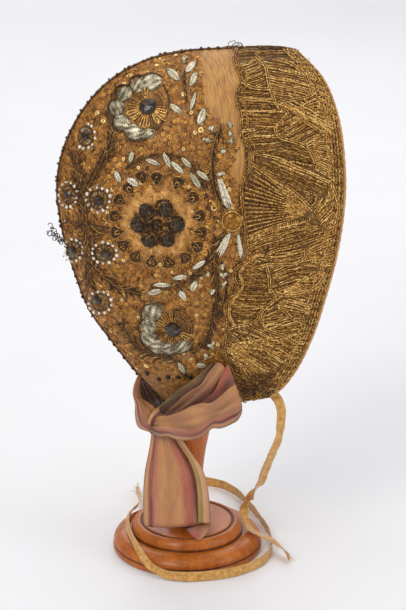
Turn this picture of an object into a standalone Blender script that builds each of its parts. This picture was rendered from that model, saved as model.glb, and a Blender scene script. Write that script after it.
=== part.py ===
"""Embroidered coif with silk ribbon and ties, on a turned wooden stand.

Frame: +X towards the face opening, +Y the wearer's left, +Z up.
The origin is the middle of the stand's foot, on the surface it stands on.
Tables are in millimetres, in named columns; objects are made in metres.
"""
import math

import bmesh
import bpy
import numpy as np
from mathutils import Vector

for leftover in list(bpy.data.objects):
    bpy.data.objects.remove(leftover, do_unlink=True)

MM = 0.001

# ---------------------------------------------------------------- sizes (mm)
HALF_WIDTH = 70.0          # widest half of the head opening
POLE_X, POLE_Z = 87.0, 262.0   # middle of the face opening, seen from the side
RIDGE_CREASE = 0.015       # how sharply the two halves meet along the centre
CLOTH = 2.0                # silk on pasteboard
RIDGE_GAP = 0.9            # each crown half stays this far from the centre plane
SEAM_GAP = 0.006           # of a row's length, crown to brim
BRAID_R = 1.2              # gimp along the centre seam
PIPING_R = 1.2             # silk piping along the face edge
RIBBON_T = 1.2             # ribbon, as a plain wall
TIE_W, TIE_T = 7.0, 1.0    # silk tape ties

# outline of the centre ridge seen from the side, from the brow over the
# back of the head to the nape, then closed below the neck by a free curve
RIDGE = [
    # x, z
    (112, 330), (87, 342), (60, 347), (35, 348.3), (17, 348.6), (-4, 347.6),
    (-26, 343), (-50, 330.5), (-70, 308.5), (-82, 282), (-85, 262),
    (-83, 239), (-75, 205), (-64.5, 176), (-50, 153.5), (-34, 130.5),
    (-17, 110), (5, 82), (36, 54), (75, 38), (112, 34),
]
NAPE_X, NAPE_Z = -17.0, 110.0

# free edge of the brim, from the cheek up to the ridge
FACE_EDGE = [
    # x, z
    (44, 125), (52, 132.5), (58, 142), (68, 166.5), (76.5, 199), (83, 230),
    (86.5, 263), (87, 290), (86, 316), (81.8, 334), (73, 345.2),
]

# seam between brim and crown, from the cheek up to the ridge
CROWN_SEAM = [
    # x, z
    (27, 120), (20, 148), (15.5, 170), (17, 198), (21, 225), (24, 262),
    (26, 295), (27, 325), (31, 348.3),
]

# mounted stones, foils and button on one half; the other half mirrors them
STONES = [
    # name, x, z, radius, height
    ("flower_stone_upper", -30.9, 320.3, 5.4, 3.2),
    ("flower_stone_lower", -17.4, 174.6, 5.4, 3.2),
    ("small_stone_1", -67.9, 299.3, 3.2, 2.2),
    ("small_stone_2", -79.3, 261.2, 3.2, 2.2),
    ("small_stone_3", -62.7, 261.2, 3.4, 2.2),
    ("small_stone_4", -76.3, 222.2, 3.2, 2.2),
    ("small_stone_5", -58.4, 225.0, 3.2, 2.2),
    ("small_stone_6", -62.0, 189.5, 3.2, 2.2),
    ("rosette_centre", -28.9, 248.0, 3.0, 2.0),
    ("gold_button", 16.5, 251.9, 5.6, 3.0),
]
ROSETTE_X, ROSETTE_Z = -28.9, 248.0
ROSETTE_FOILS = 6
ROSETTE_RING = 11.6        # foils' centres from the rosette's middle
ROSETTE_FOIL_R = 4.7

# ribbon at the nape, as bands between their upper and lower edges
BOW_FRONT = [
    # upper x, y, z, lower x, y, z: out from the knot, round and back
    (-21.5, -20, 105, -21.5, -20, 91.5),
    (-15.5, -33, 111.5, -9, -33, 93.5),
    (-6.5, -43, 119, 0, -43, 98.5),
    (4.5, -53, 127.5, 7, -52, 106),
    (12, -59, 139, 15.5, -59, 112.5),
    (18.5, -58.5, 149, 22.5, -61, 118),
    (20, -54, 150.5, 25, -57, 119.5),
    (16, -51.5, 150.5, 22.5, -47.5, 121),
    (9.5, -49.5, 152, 14, -42.5, 122),
    (3, -46.5, 149.5, 6, -37.5, 118),
    (-5, -37.5, 136.5, -4.5, -31.5, 113.5),
    (-13.5, -20.5, 117, -14.5, -20, 104.5),
]
BOW_BACK = [
    # upper x, y, z, lower x, y, z: out from the knot, round the nape
    (-26.5, -17, 111.5, -29, -17, 95),
    (-30, -18, 116.5, -32.5, -18, 95),
    (-33.5, -16, 122, -36, -16, 95.5),
    (-36, -10, 129, -37.5, -10, 97.5),
    (-36.5, -3, 129, -37.5, -3, 100),
    (-34.5, 4, 125, -35, 4, 102),
    (-29, 8, 117, -28.5, 8, 101),
    (-22.5, 7, 109, -22, 7, 100.5),
]
TAIL = [
    # left x, y, z, right x, y, z: down from the knot
    (-28, -19.5, 91, -11.5, -19.5, 90),
    (-30.5, -21.5, 83, -6.5, -21.5, 80.5),
    (-32, -23, 72, -2.5, -23, 67.5),
    (-34.5, -24.5, 56, 1, -24.5, 50.5),
    (-35.5, -25.5, 41, 2.5, -25.5, 37.5),
    (-36, -26, 28, 2, -26, 27),
]
TAIL_FOLD = [
    # left x, y, z, right x, y, z: the turned-back edge
    (-10, -17.3, 88, -3.5, -17.3, 86),
    (-5, -18.3, 79, 2, -18.3, 74.5),
    (-1.5, -19.5, 66, 6.5, -19.5, 63),
    (2.5, -20.5, 50, 9.5, -20.5, 47.5),
    (3, -21.5, 35.5, 10, -21.5, 33),
    (3, -22.5, 22, 10.5, -22.5, 23),
]
KNOT_X, KNOT_Y, KNOT_Z = -24.0, -11.0, 98.5
KNOT_RX, KNOT_RY, KNOT_RZ = 5.2, 5.0, 7.5

# ties: middle line of the tape; turn is the angle of its width from flat
TIE_RIGHT = [
    # x, y, z, turn (degrees: 0 lies flat, 90 stands on edge)
    (44.0, -42.5, 129, 90),
    (48.5, -43.5, 125.8, 90),
    (52.4, -45.3, 120.5, 90),
    (53.9, -47.5, 114.9, 90),
    (53.6, -49.0, 108, 90),
    (52.6, -49.0, 96.9, 90),
    (49.4, -44.0, 82.3, 90),
    (46.7, -36.5, 68.8, 90),
    (45.0, -25.5, 51.7, 90),
    (42.8, -15.0, 40.5, 80),
    (40.6, -7.0, 32.0, 65),
    (39.4, -3.5, 24.5, 50),
    (39.4, -6.5, 18.2, 35),
    (40.6, -13.2, 15.0, 20),
    (43.6, -19.2, 13.6, 10),
    (48.6, -22.6, 12.0, 6),
    (54.0, -25.0, 9.8, 8),
    (58.4, -29.0, 7.0, 25),
    (61.0, -34.5, 4.8, 60),
    (62.2, -41.0, 3.9, 80),
]
TIE_LEFT = [
    # x, y, z, turn
    (43.5, 42.5, 129, 90),
    (43.5, 45.0, 119, 90),
    (42, 53, 106, 90),
    (36, 64, 86, 90),
    (28, 74, 58, 90),
    (20, 84, 30, 90),
    (15.5, 92, 11, 90),
    (21, 96.5, 4.4, 90),
    (33.6, 93, 3.8, 90),
    (44.5, 84.5, 3.8, 88),
    (50.8, 71, 3.8, 86),
    (53.8, 54.2, 3.8, 85),
    (56.0, 37.9, 3.8, 85),
    (57.6, 22.3, 3.8, 85),
    (58.6, 6.6, 3.8, 85),
    (57.2, -13, 3.8, 85),
    (51.6, -31, 3.8, 85),
    (40.0, -46.5, 3.8, 85),
    (23.6, -55.5, 3.8, 85),
    (3, -58.2, 3.8, 85),
    (-13, -56.0, 3.8, 85),
    (-26.5, -49.8, 4.4, 82),
    (-35.0, -41.5, 8.0, 68),
    (-39.2, -32.5, 13.2, 58),
    (-41.2, -15, 15.2, 55),
    (-41.0, 2, 15.2, 55),
    (-38.4, 18, 15.2, 52),
    (-32.6, 34, 14.2, 48),
    (-26.5, 50, 9.4, 58),
    (-22.0, 65, 5.2, 70),
    (-19.4, 80, 3.9, 78),
    (-18.4, 93.5, 3.8, 80),
]

# turned stand
BASE_PROFILE = [
    # radius, z: from the middle of the top, down the outer side
    (0, 20.0), (28.5, 19.4), (30.6, 18.9), (31.6, 18.2), (33.0, 18.6),
    (35.4, 17.6), (37.2, 15.4), (37.8, 12.9), (38.8, 12.0), (44.0, 11.6),
    (48.6, 10.4), (50.9, 8.2), (51.6, 5.4), (50.8, 2.4), (49.6, 0.0), (0, 0.0),
]
POST_PROFILE = [
    # radius, z
    (0, 326.2), (8.0, 326.2), (8.0, 150.0), (9.5, 128.0), (15.0, 108.0),
    (17.0, 98.0), (15.8, 87.0), (12.6, 71.0), (10.9, 57.0), (11.0, 44.0),
    (12.6, 31.0), (16.0, 20.6), (16.0, 20.3), (0, 20.3),
]
HEAD_R, HEAD_EDGE, HEAD_RISE = 26.0, 4.0, 12.0
HEAD_BOTTOM = 326.5        # underside of the mushroom cap

# grids
CROWN_ROWS, CROWN_COLS = 24, 14
BRIM_ROWS, BRIM_COLS = 18, 6


# ---------------------------------------------------------------- functions
def smooth(xs, ys, x):
    """Cubic through the table's points, with slopes taken from neighbours."""
    xs, ys = np.asarray(xs, float), np.asarray(ys, float)
    slope = np.gradient(ys, xs)
    x = np.asarray(x, float)
    i = np.clip(np.searchsorted(xs, x) - 1, 0, len(xs) - 2)
    h = xs[i + 1] - xs[i]
    t = (x - xs[i]) / h
    return ((2 * t**3 - 3 * t**2 + 1) * ys[i] + (t**3 - 2 * t**2 + t) * h * slope[i]
            + (3 * t**2 - 2 * t**3) * ys[i + 1] + (t**3 - t**2) * h * slope[i + 1])


def polar(x, z):
    return math.atan2(z - POLE_Z, POLE_X - x), math.hypot(POLE_X - x, z - POLE_Z)


RIDGE_POLAR = sorted(polar(x, z) for x, z in RIDGE)
RIDGE_ANGLES = [a for a, _ in RIDGE_POLAR]
RIDGE_REACH = [r for _, r in RIDGE_POLAR]


def depth_ratio(x, z):
    """0 at the middle of the face opening, 1 on the ridge."""
    angle, length = polar(x, z)
    return length / float(smooth(RIDGE_ANGLES, RIDGE_REACH, angle))


def half_width(x, z):
    """How far the coif's outer side stands from the centre plane."""
    r = depth_ratio(x, z)
    if r >= 1.0:
        return 0.0
    k = math.sqrt(RIDGE_CREASE)
    return HALF_WIDTH * (math.sqrt(1 - r * r + RIDGE_CREASE) - k) / (math.sqrt(1 + RIDGE_CREASE) - k)


def side_point(x, z, side):
    return np.array([x, side * half_width(x, z), z])


def side_normal(x, z, side):
    e = 0.4
    dx = (half_width(x + e, z) - half_width(x - e, z)) / (2 * e)
    dz = (half_width(x, z + e) - half_width(x, z - e)) / (2 * e)
    n = np.array([-dx, side, -dz])
    return n / np.linalg.norm(n)


def along(points, count, lift=None):
    """Even steps along a smooth curve through points of any dimension."""
    p = np.asarray(points, float)
    knots = np.concatenate([[0], np.cumsum(np.linalg.norm(np.diff(p[:, :3] if p.shape[1] > 2 else p, axis=0), axis=1))])
    fine = np.linspace(0, knots[-1], 400)
    dense = np.stack([smooth(knots, p[:, k], fine) for k in range(p.shape[1])], axis=1)
    measured = dense if lift is None else np.array([lift(q) for q in dense])
    if lift is None and dense.shape[1] > 3:
        measured = dense[:, :3]
    length = np.concatenate([[0], np.cumsum(np.linalg.norm(np.diff(measured, axis=0), axis=1))])
    at = np.linspace(0, length[-1], count)
    return np.stack([np.interp(at, length, dense[:, k]) for k in range(p.shape[1])], axis=1)


def lifted(q):
    return side_point(q[0], q[1], -1)


def even_row(start, end, count):
    """Points from start to end, evenly spaced over the curved side."""
    line = [start + (end - start) * t for t in np.linspace(0, 1, 90)]
    return along_line(line, count)


def along_line(line, count):
    line = np.asarray(line)
    solid = np.array([lifted(q) for q in line])
    length = np.concatenate([[0], np.cumsum(np.linalg.norm(np.diff(solid, axis=0), axis=1))])
    at = np.linspace(0, length[-1], count)
    return np.stack([np.interp(at, length, line[:, k]) for k in range(2)], axis=1)


def ridge_curve(count):
    """The ridge from the nape up and over to the crown seam's top."""
    start = polar(NAPE_X, NAPE_Z)[0]
    end = polar(*CROWN_SEAM[-1])[0]
    points = []
    for a in np.linspace(start, end, 300):
        r = float(smooth(RIDGE_ANGLES, RIDGE_REACH, a))
        points.append((POLE_X - r * math.cos(a), POLE_Z + r * math.sin(a)))
    return along(points[::6] + [points[-1]], count)


# ---------------------------------------------------------------- objects
collection = bpy.data.collections.new("embroidered_coif_on_stand")
bpy.context.scene.collection.children.link(collection)


def material(name, color, roughness, metallic=0.0):
    m = bpy.data.materials.new(name)
    m.use_nodes = True
    shader = m.node_tree.nodes["Principled BSDF"]
    shader.inputs["Base Color"].default_value = (*color, 1.0)
    shader.inputs["Roughness"].default_value = roughness
    shader.inputs["Metallic"].default_value = metallic
    m.diffuse_color = (*color, 1.0)
    return m


COLORS = {
    "crown": (0.36, 0.18, 0.06), "brim": (0.42, 0.25, 0.08), "braid": (0.10, 0.06, 0.03),
    "piping": (0.52, 0.28, 0.08), "stone": (0.07, 0.06, 0.08), "foil": (0.09, 0.08, 0.06),
    "button": (0.45, 0.27, 0.08), "ribbon": (0.50, 0.27, 0.14), "tie": (0.56, 0.33, 0.08),
    "wood": (0.42, 0.15, 0.04),
}


def new_object(name, data, color, roughness, metallic=0.0):
    obj = bpy.data.objects.new(name, data)
    collection.objects.link(obj)
    data.materials.append(material(name, COLORS[color], roughness, metallic))
    return obj


def grid_mesh(name, rows):
    """A skin over rows of points; points that coincide are joined."""
    bm = bmesh.new()
    verts = [[bm.verts.new(Vector(p) * MM) for p in row] for row in rows]
    for a, b in zip(verts, verts[1:]):
        for i in range(len(a) - 1):
            bm.faces.new((a[i], a[i + 1], b[i + 1], b[i]))
    bmesh.ops.remove_doubles(bm, verts=bm.verts, dist=0.00005)
    mesh = bpy.data.meshes.new(name)
    bm.to_mesh(mesh)
    bm.free()
    return mesh


def thicken(obj, thickness, offset):
    wall = obj.modifiers.new("wall", "SOLIDIFY")
    wall.thickness = thickness * MM
    wall.offset = offset
    return wall


def smooth_shade(obj, angle=40):
    obj.data.shade_smooth()
    obj.data.set_sharp_from_angle(angle=math.radians(angle))


def crown_half(name, side):
    seam = along(CROWN_SEAM, CROWN_ROWS + 1, lifted)
    ridge = ridge_curve(CROWN_ROWS + 1)
    rows = []
    for s, r in zip(seam, ridge):
        start = s + (r - s) * SEAM_GAP
        row = []
        for q in even_row(start, r, CROWN_COLS + 1):
            y = max(half_width(q[0], q[1]), RIDGE_GAP)
            row.append((q[0], side * y, q[1]))
        rows.append(row)
    if side < 0:
        rows = [row[::-1] for row in rows]
    obj = new_object(name, grid_mesh(name, rows), "crown", 0.6, 0.4)
    thicken(obj, CLOTH, -1.0)
    smooth_shade(obj)
    return obj


def brim_arch(name):
    face = along(FACE_EDGE, BRIM_ROWS + 1, lifted)
    seam = along(CROWN_SEAM, BRIM_ROWS + 1, lifted)
    top = [depth_ratio(*(face[-1] + (seam[-1] - face[-1]) * s)) for s in np.linspace(0, 1, BRIM_COLS + 1)]
    rows = []
    for k in range(BRIM_ROWS + 1):
        t = k / BRIM_ROWS
        row = []
        for c, s in enumerate(np.linspace(0, 1 - SEAM_GAP, BRIM_COLS + 1)):
            q = face[k] + (seam[k] - face[k]) * s
            stretch = 1 + t**5 * (1 / top[c] - 1)
            x = POLE_X + (q[0] - POLE_X) * stretch
            z = POLE_Z + (q[1] - POLE_Z) * stretch
            y = 0.0 if k == BRIM_ROWS else half_width(x, z)
            row.append((x, -y, z))
        rows.append(row[::-1])
    obj = new_object(name, grid_mesh(name, rows), "brim", 0.5, 0.6)
    mirror = obj.modifiers.new("other_side", "MIRROR")
    mirror.use_axis = (False, True, False)
    mirror.use_mirror_merge = True
    mirror.merge_threshold = 0.0001
    thicken(obj, CLOTH, -1.0)
    smooth_shade(obj)
    return obj


def tube(name, points, radius, color, roughness, metallic=0.0):
    curve = bpy.data.curves.new(name, "CURVE")
    curve.dimensions = "3D"
    curve.bevel_depth = radius * MM
    curve.bevel_resolution = 1
    curve.use_fill_caps = True
    spline = curve.splines.new("POLY")
    spline.points.add(len(points) - 1)
    for p, q in zip(spline.points, points):
        p.co = (q[0] * MM, q[1] * MM, q[2] * MM, 1.0)
    return new_object(name, curve, color, roughness, metallic)


def centre_braid(name):
    points = []
    for x, z in ridge_curve(46)[1:-1]:
        out = np.array([x - POLE_X, z - POLE_Z])
        e = 0.02
        a = polar(x, z)[0]
        p0, p1 = [(POLE_X - r * math.cos(b), POLE_Z + r * math.sin(b))
                  for b in (a - e, a + e) for r in [float(smooth(RIDGE_ANGLES, RIDGE_REACH, b))]]
        tangent = np.array(p1) - np.array(p0)
        normal = np.array([-tangent[1], tangent[0]])
        normal /= np.linalg.norm(normal)
        if normal @ out < 0:
            normal = -normal
        points.append((x + normal[0] * (BRAID_R + 0.4), 0.0, z + normal[1] * (BRAID_R + 0.4)))
    return tube(name, points, BRAID_R, "braid", 0.7, 0.3)


def face_piping(name):
    half = []
    edge = along(FACE_EDGE, 27, lifted)
    for k, q in enumerate(edge):
        a, b = edge[max(k - 1, 0)], edge[min(k + 1, len(edge) - 1)]
        pa, pb = lifted(a), lifted(b)
        run = (pb - pa) / np.linalg.norm(pb - pa)
        if k == len(edge) - 1:
            run = np.array([0.0, 1.0, 0.0])
        normal = side_normal(*q, -1) if k < len(edge) - 1 else np.array([0.06, 0.0, 1.0])
        out = np.cross(run, normal)
        out /= np.linalg.norm(out)
        if out[0] < 0:
            out = -out
        p = lifted(q) if k < len(edge) - 1 else np.array([q[0], 0.0, q[1]])
        half.append(p + out * (PIPING_R + 0.35) - normal * CLOTH * 0.5)
    other = [np.array([p[0], -p[1], p[2]]) for p in half[-2::-1]]
    return tube(name, half + other, PIPING_R, "piping", 0.6)


def turned(name, profile, steps, color, roughness, metallic=0.0):
    """A lathe shape: the profile runs down its outer side."""
    mesh = bpy.data.meshes.new(name)
    mesh.from_pydata([(r * MM, 0, z * MM) for r, z in profile],
                     [(i, i + 1) for i in range(len(profile) - 1)], [])
    obj = new_object(name, mesh, color, roughness, metallic)
    screw = obj.modifiers.new("turn", "SCREW")
    screw.steps = screw.render_steps = steps
    screw.use_merge_vertices = True
    screw.merge_threshold = 0.00005
    screw.use_smooth_shade = True
    return obj


def stone(name, x, z, radius, height, side, color):
    r, h = radius, height
    profile = [(0, h), (r * 0.62, h * 0.84), (r, h * 0.34), (r, 0), (0, 0)]
    obj = turned(name, profile, 10, color, 0.25, 0.0)
    normal = Vector(side_normal(x, z, side))
    obj.rotation_euler = Vector((0, 0, 1)).rotation_difference(normal).to_euler()
    base = Vector(side_point(x, z, side)) + normal * 0.35
    obj.location = base * MM
    return obj


def strip(name, rows, thickness, color, roughness, across, steps):
    """A flat strip: rows hold its middle line, and across gives its width's direction."""
    line = along(rows, steps)
    left, right = [], []
    for k, q in enumerate(line):
        p = q[:3]
        run = line[min(k + 1, len(line) - 1)][:3] - line[max(k - 1, 0)][:3]
        run /= np.linalg.norm(run)
        wide, width = across(q, run)
        wide = wide - run * (wide @ run)
        wide /= np.linalg.norm(wide)
        left.append(p - wide * width / 2)
        right.append(p + wide * width / 2)
    obj = new_object(name, grid_mesh(name, [left, right]), color, roughness)
    thicken(obj, thickness, 0.0)
    return obj


def band(name, edges, steps, columns, cup=0.0):
    """Ribbon between two edges; cup bows its middle outwards."""
    e = np.asarray(edges, float)
    middle = (e[:, :3] + e[:, 3:]) / 2
    knots = np.concatenate([[0], np.cumsum(np.linalg.norm(np.diff(middle, axis=0), axis=1))])
    at = np.linspace(0, knots[-1], steps + 1)
    line = np.stack([smooth(knots, e[:, k], at) for k in range(6)], axis=1)
    rows = []
    for k, q in enumerate(line):
        n, m = line[min(k + 1, steps)], line[max(k - 1, 0)]
        run = (n[:3] + n[3:]) - (m[:3] + m[3:])
        face = np.cross(run, q[3:] - q[:3])
        face /= np.linalg.norm(face)
        rows.append([q[:3] + (q[3:] - q[:3]) * t + face * cup * math.sin(math.pi * t)
                     for t in np.linspace(0, 1, columns + 1)])
    obj = new_object(name, grid_mesh(name, rows), "ribbon", 0.6)
    thicken(obj, RIBBON_T, 0.0)
    return obj


def tie_across(q, run):
    turn = math.radians(q[3])
    flat = np.cross(run, (0, 0, 1))
    if np.linalg.norm(flat) < 0.2:
        flat = np.array([0.0, 1.0, 0.0])
    flat /= np.linalg.norm(flat)
    up = np.cross(flat, run)
    up /= np.linalg.norm(up)
    if abs(run[2]) > 0.75:
        return np.array([1.0, 0.35, 0.0]), TIE_W
    return flat * math.cos(turn) + up * math.sin(turn), TIE_W


# ---------------------------------------------------------------- the coif
crown_half("crown_right", -1)
crown_half("crown_left", 1)
brim_arch("brim")
centre_braid("centre_braid")
face_piping("face_piping")

for side, word in ((-1, "right"), (1, "left")):
    for stone_name, x, z, radius, height in STONES:
        color = "button" if stone_name == "gold_button" else "stone"
        stone(stone_name + "_" + word, x, z, radius, height, side, color)
    for k in range(ROSETTE_FOILS):
        a = math.radians(4 + 360 * k / ROSETTE_FOILS)
        stone("rosette_foil_%d_%s" % (k + 1, word),
              ROSETTE_X + ROSETTE_RING * math.cos(a), ROSETTE_Z + ROSETTE_RING * math.sin(a),
              ROSETTE_FOIL_R, 1.8, side, "foil")

# ---------------------------------------------------------------- ribbon and ties
band("ribbon_front_loop", BOW_FRONT, 30, 4)
band("ribbon_back_loop", BOW_BACK, 16, 3)
band("ribbon_tail", TAIL, 10, 3, 1.2)
band("ribbon_tail_fold", TAIL_FOLD, 8, 1)

knot_mesh = bpy.data.meshes.new("ribbon_knot")
knot_bm = bmesh.new()
bmesh.ops.create_uvsphere(knot_bm, u_segments=12, v_segments=8, radius=1.0)
bmesh.ops.scale(knot_bm, verts=knot_bm.verts, vec=(KNOT_RX * MM, KNOT_RY * MM, KNOT_RZ * MM))
knot_bm.to_mesh(knot_mesh)
knot_bm.free()
knot = new_object("ribbon_knot", knot_mesh, "ribbon", 0.6)
knot.location = (KNOT_X * MM, KNOT_Y * MM, KNOT_Z * MM)

strip("tie_right", TIE_RIGHT, TIE_T, "tie", 0.6, tie_across, 40)
strip("tie_left", TIE_LEFT, TIE_T, "tie", 0.6, tie_across, 78)

# ---------------------------------------------------------------- the stand
turned("stand_base", BASE_PROFILE, 36, "wood", 0.25)
turned("stand_post", POST_PROFILE, 20, "wood", 0.3)
dome = [(HEAD_R * math.sin(a), HEAD_BOTTOM + HEAD_EDGE + HEAD_RISE * math.cos(a))
        for a in np.linspace(0, math.pi / 2, 7)]
turned("stand_head", dome + [(HEAD_R, HEAD_BOTTOM), (0, HEAD_BOTTOM)], 24, "wood", 0.4)
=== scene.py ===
"""Embroidered coif with silk ribbon and tape ties on a turned wooden stand: the looks.

Frame: +X towards the face opening, +Y the wearer's left, +Z up, origin at the
middle of the stand's foot. Tables are in millimetres, or in chart points of
the embroidery, which are laid onto the right side and mirrored to the left.
"""

import math

import bpy
import numpy as np
from mathutils import Matrix, Vector, kdtree


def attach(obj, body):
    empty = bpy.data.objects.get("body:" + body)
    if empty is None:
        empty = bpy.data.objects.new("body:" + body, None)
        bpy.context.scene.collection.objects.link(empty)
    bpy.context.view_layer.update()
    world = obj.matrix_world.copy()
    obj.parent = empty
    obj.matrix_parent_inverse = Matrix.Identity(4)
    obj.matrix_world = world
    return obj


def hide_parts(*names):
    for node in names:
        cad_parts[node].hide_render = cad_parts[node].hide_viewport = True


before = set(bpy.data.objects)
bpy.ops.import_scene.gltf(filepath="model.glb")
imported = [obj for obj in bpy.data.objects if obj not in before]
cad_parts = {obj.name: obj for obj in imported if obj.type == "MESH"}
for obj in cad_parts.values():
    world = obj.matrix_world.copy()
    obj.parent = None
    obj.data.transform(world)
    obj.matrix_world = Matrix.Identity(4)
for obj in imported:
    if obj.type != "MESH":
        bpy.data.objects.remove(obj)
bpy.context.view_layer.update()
MM = 0.001
rng = np.random.default_rng(11)
scene = bpy.context.scene
scene.view_settings.view_transform = "Standard"

# ---------------------------------------------------------------- camera
LENS = 118.914
CAM_AT = np.array([-0.25391903, -1.24718926, 0.61428875])
CAM_TO = np.array([0.01146986, 0.00136732, 0.17477174])
cam_data = bpy.data.cameras.new("camera")
cam_data.lens, cam_data.sensor_width = LENS, 36.0
cam_data.clip_start, cam_data.clip_end = 0.01, 50.0
camera = bpy.data.objects.new("camera", cam_data)
scene.collection.objects.link(camera)
camera.location = CAM_AT
camera.rotation_mode = "QUATERNION"
camera.rotation_quaternion = Vector(CAM_TO - CAM_AT).to_track_quat("-Z", "Y")
scene.camera = camera

# ---------------------------------------------------------------- the coif's outer surface
HALF_WIDTH, POLE_X, POLE_Z, RIDGE_CREASE = 70.0, 87.0, 262.0, 0.015
CLOTH, RIDGE_GAP, SEAM_GAP = 2.0, 0.9, 0.006
RIDGE = [
    (112, 330), (87, 342), (60, 347), (35, 348.3), (17, 348.6), (-4, 347.6),
    (-26, 343), (-50, 330.5), (-70, 308.5), (-82, 282), (-85, 262),
    (-83, 239), (-75, 205), (-64.5, 176), (-50, 153.5), (-34, 130.5),
    (-17, 110), (5, 82), (36, 54), (75, 38), (112, 34),
]
NAPE_X, NAPE_Z = -17.0, 110.0
FACE_EDGE = [
    (44, 125), (52, 132.5), (58, 142), (68, 166.5), (76.5, 199), (83, 230),
    (86.5, 263), (87, 290), (86, 316), (81.8, 334), (73, 345.2),
]
CROWN_SEAM = [
    (27, 120), (20, 148), (15.5, 170), (17, 198), (21, 225), (24, 262),
    (26, 295), (27, 325), (31, 348.3),
]


def smooth(xs, ys, x):
    """Cubic through the table's points, with slopes taken from neighbours."""
    xs, ys = np.asarray(xs, float), np.asarray(ys, float)
    slope = np.gradient(ys, xs)
    x = np.asarray(x, float)
    i = np.clip(np.searchsorted(xs, x) - 1, 0, len(xs) - 2)
    h = xs[i + 1] - xs[i]
    t = (x - xs[i]) / h
    return ((2 * t**3 - 3 * t**2 + 1) * ys[i] + (t**3 - 2 * t**2 + t) * h * slope[i]
            + (3 * t**2 - 2 * t**3) * ys[i + 1] + (t**3 - t**2) * h * slope[i + 1])


def polar(x, z):
    return np.arctan2(z - POLE_Z, POLE_X - x), np.hypot(POLE_X - x, z - POLE_Z)


_pol = sorted((float(polar(x, z)[0]), float(polar(x, z)[1])) for x, z in RIDGE)
RIDGE_ANGLES = [a for a, _ in _pol]
RIDGE_REACH = [r for _, r in _pol]


def depth_ratio(x, z):
    a, r = polar(x, z)
    return r / smooth(RIDGE_ANGLES, RIDGE_REACH, np.clip(a, RIDGE_ANGLES[0], RIDGE_ANGLES[-1]))


def half_width(x, z):
    r = np.minimum(depth_ratio(np.asarray(x, float), np.asarray(z, float)), 1.0)
    k = math.sqrt(RIDGE_CREASE)
    return HALF_WIDTH * (np.sqrt(1 - r * r + RIDGE_CREASE) - k) / (math.sqrt(1 + RIDGE_CREASE) - k)


def lay(xz, lift=0.0):
    """Points of the right side and their outward normals; lift stands them off."""
    xz = np.asarray(xz, float)
    x, z, e = xz[..., 0], xz[..., 1], 0.5
    y = -half_width(x, z)
    dx = (half_width(x + e, z) - half_width(x - e, z)) / (2 * e)
    dz = (half_width(x, z + e) - half_width(x, z - e)) / (2 * e)
    n = np.stack([-dx, -np.ones_like(dx), -dz], -1)
    n /= np.linalg.norm(n, axis=-1, keepdims=True)
    p = np.stack([x, y, z], -1)
    return p + n * np.asarray(lift)[..., None], n


_back = (CAM_AT - CAM_TO) / np.linalg.norm(CAM_AT - CAM_TO)
_right = np.cross([0, 0, 1.0], _back)
_right /= np.linalg.norm(_right)
_up = np.cross(_back, _right)
CHART = LENS / 36.0 * 610


def chart_of(p):
    """Chart point of a place on the right side."""
    d = np.asarray(p, float) * MM - CAM_AT
    depth = -(d @ _back)
    return np.stack([203 + (d @ _right) / depth * CHART, 305 - (d @ _up) / depth * CHART], -1)


def cast(uv):
    """The (x, z) places of chart points on the right side."""
    uv = np.atleast_2d(np.asarray(uv, float))
    d = -_back + _right * ((uv[:, :1] - 203) / CHART) + _up * ((305 - uv[:, 1:]) / CHART)
    o = CAM_AT / MM
    t0, t1 = (-78 - o[1]) / d[:, 1], (0.0 - o[1]) / d[:, 1]
    steps = np.linspace(0, 1, 110)
    t = t0[:, None] + (t1 - t0)[:, None] * steps
    x, y, z = (o[k] + d[:, k, None] * t for k in range(3))
    f = y + half_width(x, z)
    hit = f > 0
    first = np.where(hit.any(1), hit.argmax(1), np.argmax(f, axis=1))
    rows = np.arange(len(uv))
    hi = t[rows, first]
    lo = t[rows, np.maximum(first - 1, 0)]
    for _ in range(14):
        mid = (lo + hi) / 2
        inside = (o[1] + d[:, 1] * mid) + half_width(o[0] + d[:, 0] * mid, o[2] + d[:, 2] * mid) > 0
        hi, lo = np.where(inside, mid, hi), np.where(inside, lo, mid)
    return np.stack([o[0] + d[:, 0] * hi, o[2] + d[:, 2] * hi], -1)


def at_depth(uvy):
    """Places seen at chart points (u, v), at the depth y in millimetres."""
    a = np.asarray(uvy, float)
    d = -_back + _right * ((a[..., :1] - 203) / CHART) + _up * ((305 - a[..., 1:2]) / CHART)
    o = CAM_AT / MM
    return o + d * ((a[..., 2:3] - o[1]) / d[..., 1:2])


def curve_through(points, per=8, closed=False):
    """A smooth line through chart points."""
    p = np.asarray(points, float)
    if closed:
        p = np.vstack([p, p[:1]])
    if len(p) == 2:
        return p[0] + (p[1] - p[0]) * np.linspace(0, 1, per + 1)[:, None]
    knots = np.concatenate([[0], np.cumsum(np.linalg.norm(np.diff(p, axis=0), axis=1))])
    at = np.concatenate([np.linspace(a, b, per, endpoint=False) for a, b in zip(knots, knots[1:])] + [[knots[-1]]])
    return np.stack([smooth(knots, p[:, k], at) for k in range(p.shape[1])], -1)


def even(points, step):
    """The same line in even steps of about that length."""
    p = np.asarray(points, float)
    length = np.concatenate([[0], np.cumsum(np.linalg.norm(np.diff(p, axis=0), axis=1))])
    n = max(2, int(round(length[-1] / step)) + 1)
    at = np.linspace(0, length[-1], n)
    return np.stack([np.interp(at, length, p[:, k]) for k in range(p.shape[1])], -1)


def beside(line, off):
    """A line in the chart moved sideways by off chart points."""
    t = np.gradient(line, axis=0)
    t /= np.linalg.norm(t, axis=1, keepdims=True) + 1e-9
    return line + np.stack([-t[:, 1], t[:, 0]], -1) * np.asarray(off).reshape(-1, 1)


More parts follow.
